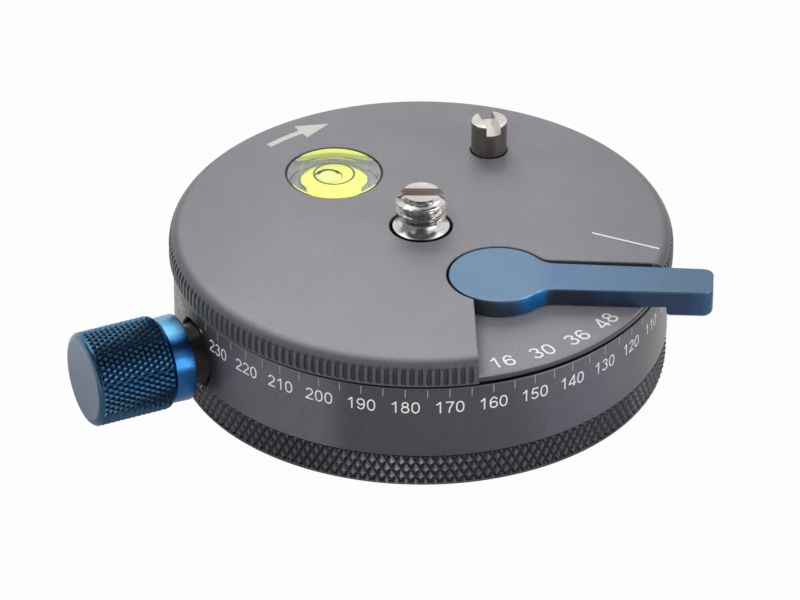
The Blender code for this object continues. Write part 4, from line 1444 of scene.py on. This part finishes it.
def makeSocket():
    s = socket
    low, high, sides = s["low"], s["flangeTop"], s["sides"]
    envelope = [(s["mouth"], low)]
    z = low + 0.05
    while z < high:
        envelope.append((max(s["crest"], s["mouth"] - (z - low)), z))
        z += s["pitch"] / 14
    envelope.append((s["crest"], high))
    points, faces = threaded(
        envelope, low + 0.05, high, s["root"], s["crest"], s["pitch"], sides, inside=True)
    base = len(points)
    wide, narrow, step = s["flange"], s["radius"], s["flangeLow"]
    outside = [(wide, high), (wide, step), (narrow, step), (narrow, low)]
    points += rings(outside, sides)
    faces += bands([base - sides] + [base + sides * i for i in range(len(outside))] + [0], sides)
    body = outward(meshObject("tripodSocket", points, faces))
    dressed(body, turnedSteel, "base", ["tripod_socket"], crease=38.0)


makeSocket()
print("socket ready")


# The pieces that keep their plain solids

plainFinish = {
    "bearing_housing": ringGrey,
    "click_disc_nut": blackSteel,
    "brake_drum": blackSteel,
    "spindle_clip": blackSteel,
    "arm_screw": blackSteel,
    "lever_bush": turnedBrass,
    "pin_bush": turnedBrass,
    "bearing_cage": turnedBrass,
    "clamp_shoe": turnedBrass,
}
for name, node in nodes.items():
    material = plainFinish.get(name, blackSteel if "_screw_" in name else bearingSteel)
    node.data.materials.clear()
    node.data.materials.append(material)
print("plain pieces ready")


# Studio: white floor, soft light, the photograph's camera

studio = {
    "worldDiffuse": 0.12,
    "softbox": 1.9,  # how bright the high rear side shows in reflections
    "spot": 1.6,  # the lamp at the right front, as reflections show it
    "dimSide": 0.08,
    # how bright the floor's painted shadow shows in reflections
    "dimFloor": 0.42,
    "floorSize": 3.0,
    "floorHeight": -0.02,
    "floorWhite": 0.975,
    "floorPaper": 0.45,
    "lamps": [
        # name, place, target, size, power
        ("rearSoftbox", (-0.1, 0.6, 0.48), (0.0, 0.0, 0.0), 0.5, 4.0),
        ("overhead", (-0.02, -0.05, 0.09), (-0.02, -0.05, 0.0), 0.05, 0.03),
        ("frontLow", (-0.08, -0.5, 0.06), (0.0, 0.0, 0.0), 0.25, 1.2),
        ("rightStrip", (0.54, -0.28, 0.1), (0.0, 0.0, 0.0), 0.38, 1.9),
        ("leftStrip", (-0.6, 0.1, 0.25), (0.0, 0.0, 0.0), 0.3, 0.9),
    ],
    "cameraPlace": (0.0, -0.5897, 0.3865),
    "cameraTarget": (-0.00262, 0.0, 0.00693),
    "cameraRoll": 0.07,
    "lens": 250.84,
}


def blended(factor, a, b):
    return added(factor.id_data, "ShaderNodeMix", {"Factor": factor, "A": a, "B": b}).outputs["Result"]


def zone(*ramps):
    # 1 in the part of the sky that lies past every ramp.
    return product(*(eased(value, start, end, 1.0) for value, start, end in ramps))


def makeWorld():
    # White all round; in reflections the side the photographer stands on is dim, as in a real studio.
    world = bpy.data.worlds.new("studioWorld")
    bpy.context.scene.world = world
    world.use_nodes = True
    tree = world.node_tree
    tree.nodes.clear()
    rays = added(tree, "ShaderNodeLightPath").outputs
    x, y, z = placeOf(tree, "Generated")  # the direction looked in
    band = zone((y, 0.0, -0.08), (y, -0.44, -0.36), (z, 0.6, 0.68))
    column = zone((x, -0.6, -0.3), (x, 0.6, 0.3), (z, 0.97, 0.88), (y, -0.1, -0.35))
    left = zone((x, -0.2, -0.4), (y, 0.45, 0.25), (z, 0.75, 0.6))
    hot = zone((y, 0.0, 0.06), (z, 0.62, 0.75))
    spot = zone((x, 0.5, 0.66), (y, -0.28, -0.42), (z, 0.64, 0.54))
    bright = blended(spot, blended(hot, 1.0, studio["softbox"]), studio["spot"])
    glossy = blended(highest(band, column, product(left, 0.8)), bright, studio["dimSide"])
    strength = blended(rays["Is Glossy Ray"], product(glossy, studio["worldDiffuse"]), glossy)
    strength = blended(highest(rays["Is Camera Ray"], rays["Is Transmission Ray"]), strength, 1.0)
    back = added(tree, "ShaderNodeBackground", {"Color": white, "Strength": strength})
    added(tree, "ShaderNodeOutputWorld", {"Surface": back.outputs[0]})


def makeFloor():
    # White where it is seen and in most reflections, pale paper for the light that falls on it; in
    # reflections it is painted dimmer in front of and near the object as shadow.
    half, low, grey = studio["floorSize"] / 2 / mm, studio["floorHeight"], studio["floorPaper"]
    corners = [(x, y, low) for x, y in ((-half, -half), (half, -half), (half, half), (-half, half))]
    floor = meshObject("studioFloor", corners, [(0, 1, 2, 3)])
    material = bpy.data.materials.new("studioPaper")
    material.use_nodes = True
    tree = material.node_tree
    tree.nodes.clear()
    rays = added(tree, "ShaderNodeLightPath").outputs
    x, y, _ = placeOf(tree)
    # painted shadow in reflections: the floor is dimmer in front of and near the object
    front = product(between(x, -120.0, -40.0, 10.0, 50.0), eased(y, 0.0, -30.0))
    near = product(eased(farFrom(x, y), 80.0, 50.0), eased(y, 0.0, -10.0), eased(x, 10.0, -10.0))
    dark = product(highest(front, near), rays["Is Glossy Ray"])
    paper = added(tree, "ShaderNodeBsdfDiffuse", {"Color": (grey, grey, grey, 1.0)})
    shine = blended(dark, 1.0, studio["dimFloor"])
    glow = added(tree, "ShaderNodeEmission", {"Color": white, "Strength": shine})
    seen = highest(rays["Is Camera Ray"], rays["Is Glossy Ray"], rays["Is Transmission Ray"])
    share = product(seen, studio["floorWhite"])
    above = added(tree, "ShaderNodeMixShader", {0: share, 1: paper.outputs[0], 2: glow.outputs[0]})
    side = added(tree, "ShaderNodeNewGeometry").outputs["Backfacing"]
    clear = added(tree, "ShaderNodeBsdfTransparent")  # from below, so that the underside shows
    surface = added(tree, "ShaderNodeMixShader", {0: side, 1: above.outputs[0], 2: clear.outputs[0]})
    added(tree, "ShaderNodeOutputMaterial", {"Surface": surface.outputs[0]})
    floor.data.materials.append(material)


def makeLamps():
    for name, place, target, size, power in studio["lamps"]:
        light = bpy.data.lights.new(name, "AREA")
        light.shape = "SQUARE"
        light.size = size
        light.energy = power
        lamp = linked(name, light)
        lamp.location = place
        lamp.rotation_euler = (Vector(target) - Vector(place)).to_track_quat("-Z", "Y").to_euler()
        lamp.visible_glossy = name == "rightStrip"  # the others don't show in reflections


def makeCamera():
    data = bpy.data.cameras.new("photoCamera")
    data.sensor_width = 36.0
    data.lens = studio["lens"]
    data.clip_start = 0.01
    camera = linked("photoCamera", data)
    camera.location = studio["cameraPlace"]
    aim = (Vector(studio["cameraTarget"]) - camera.location).to_track_quat("-Z", "Y")
    roll = Matrix.Rotation(math.radians(studio["cameraRoll"]), 3, "Z")
    camera.rotation_euler = (aim.to_matrix() @ roll).to_euler()
    bpy.context.scene.camera = camera


makeWorld()
makeFloor()
makeLamps()
makeCamera()
bpy.context.scene.view_settings.view_transform = "Standard"
print("studio ready")
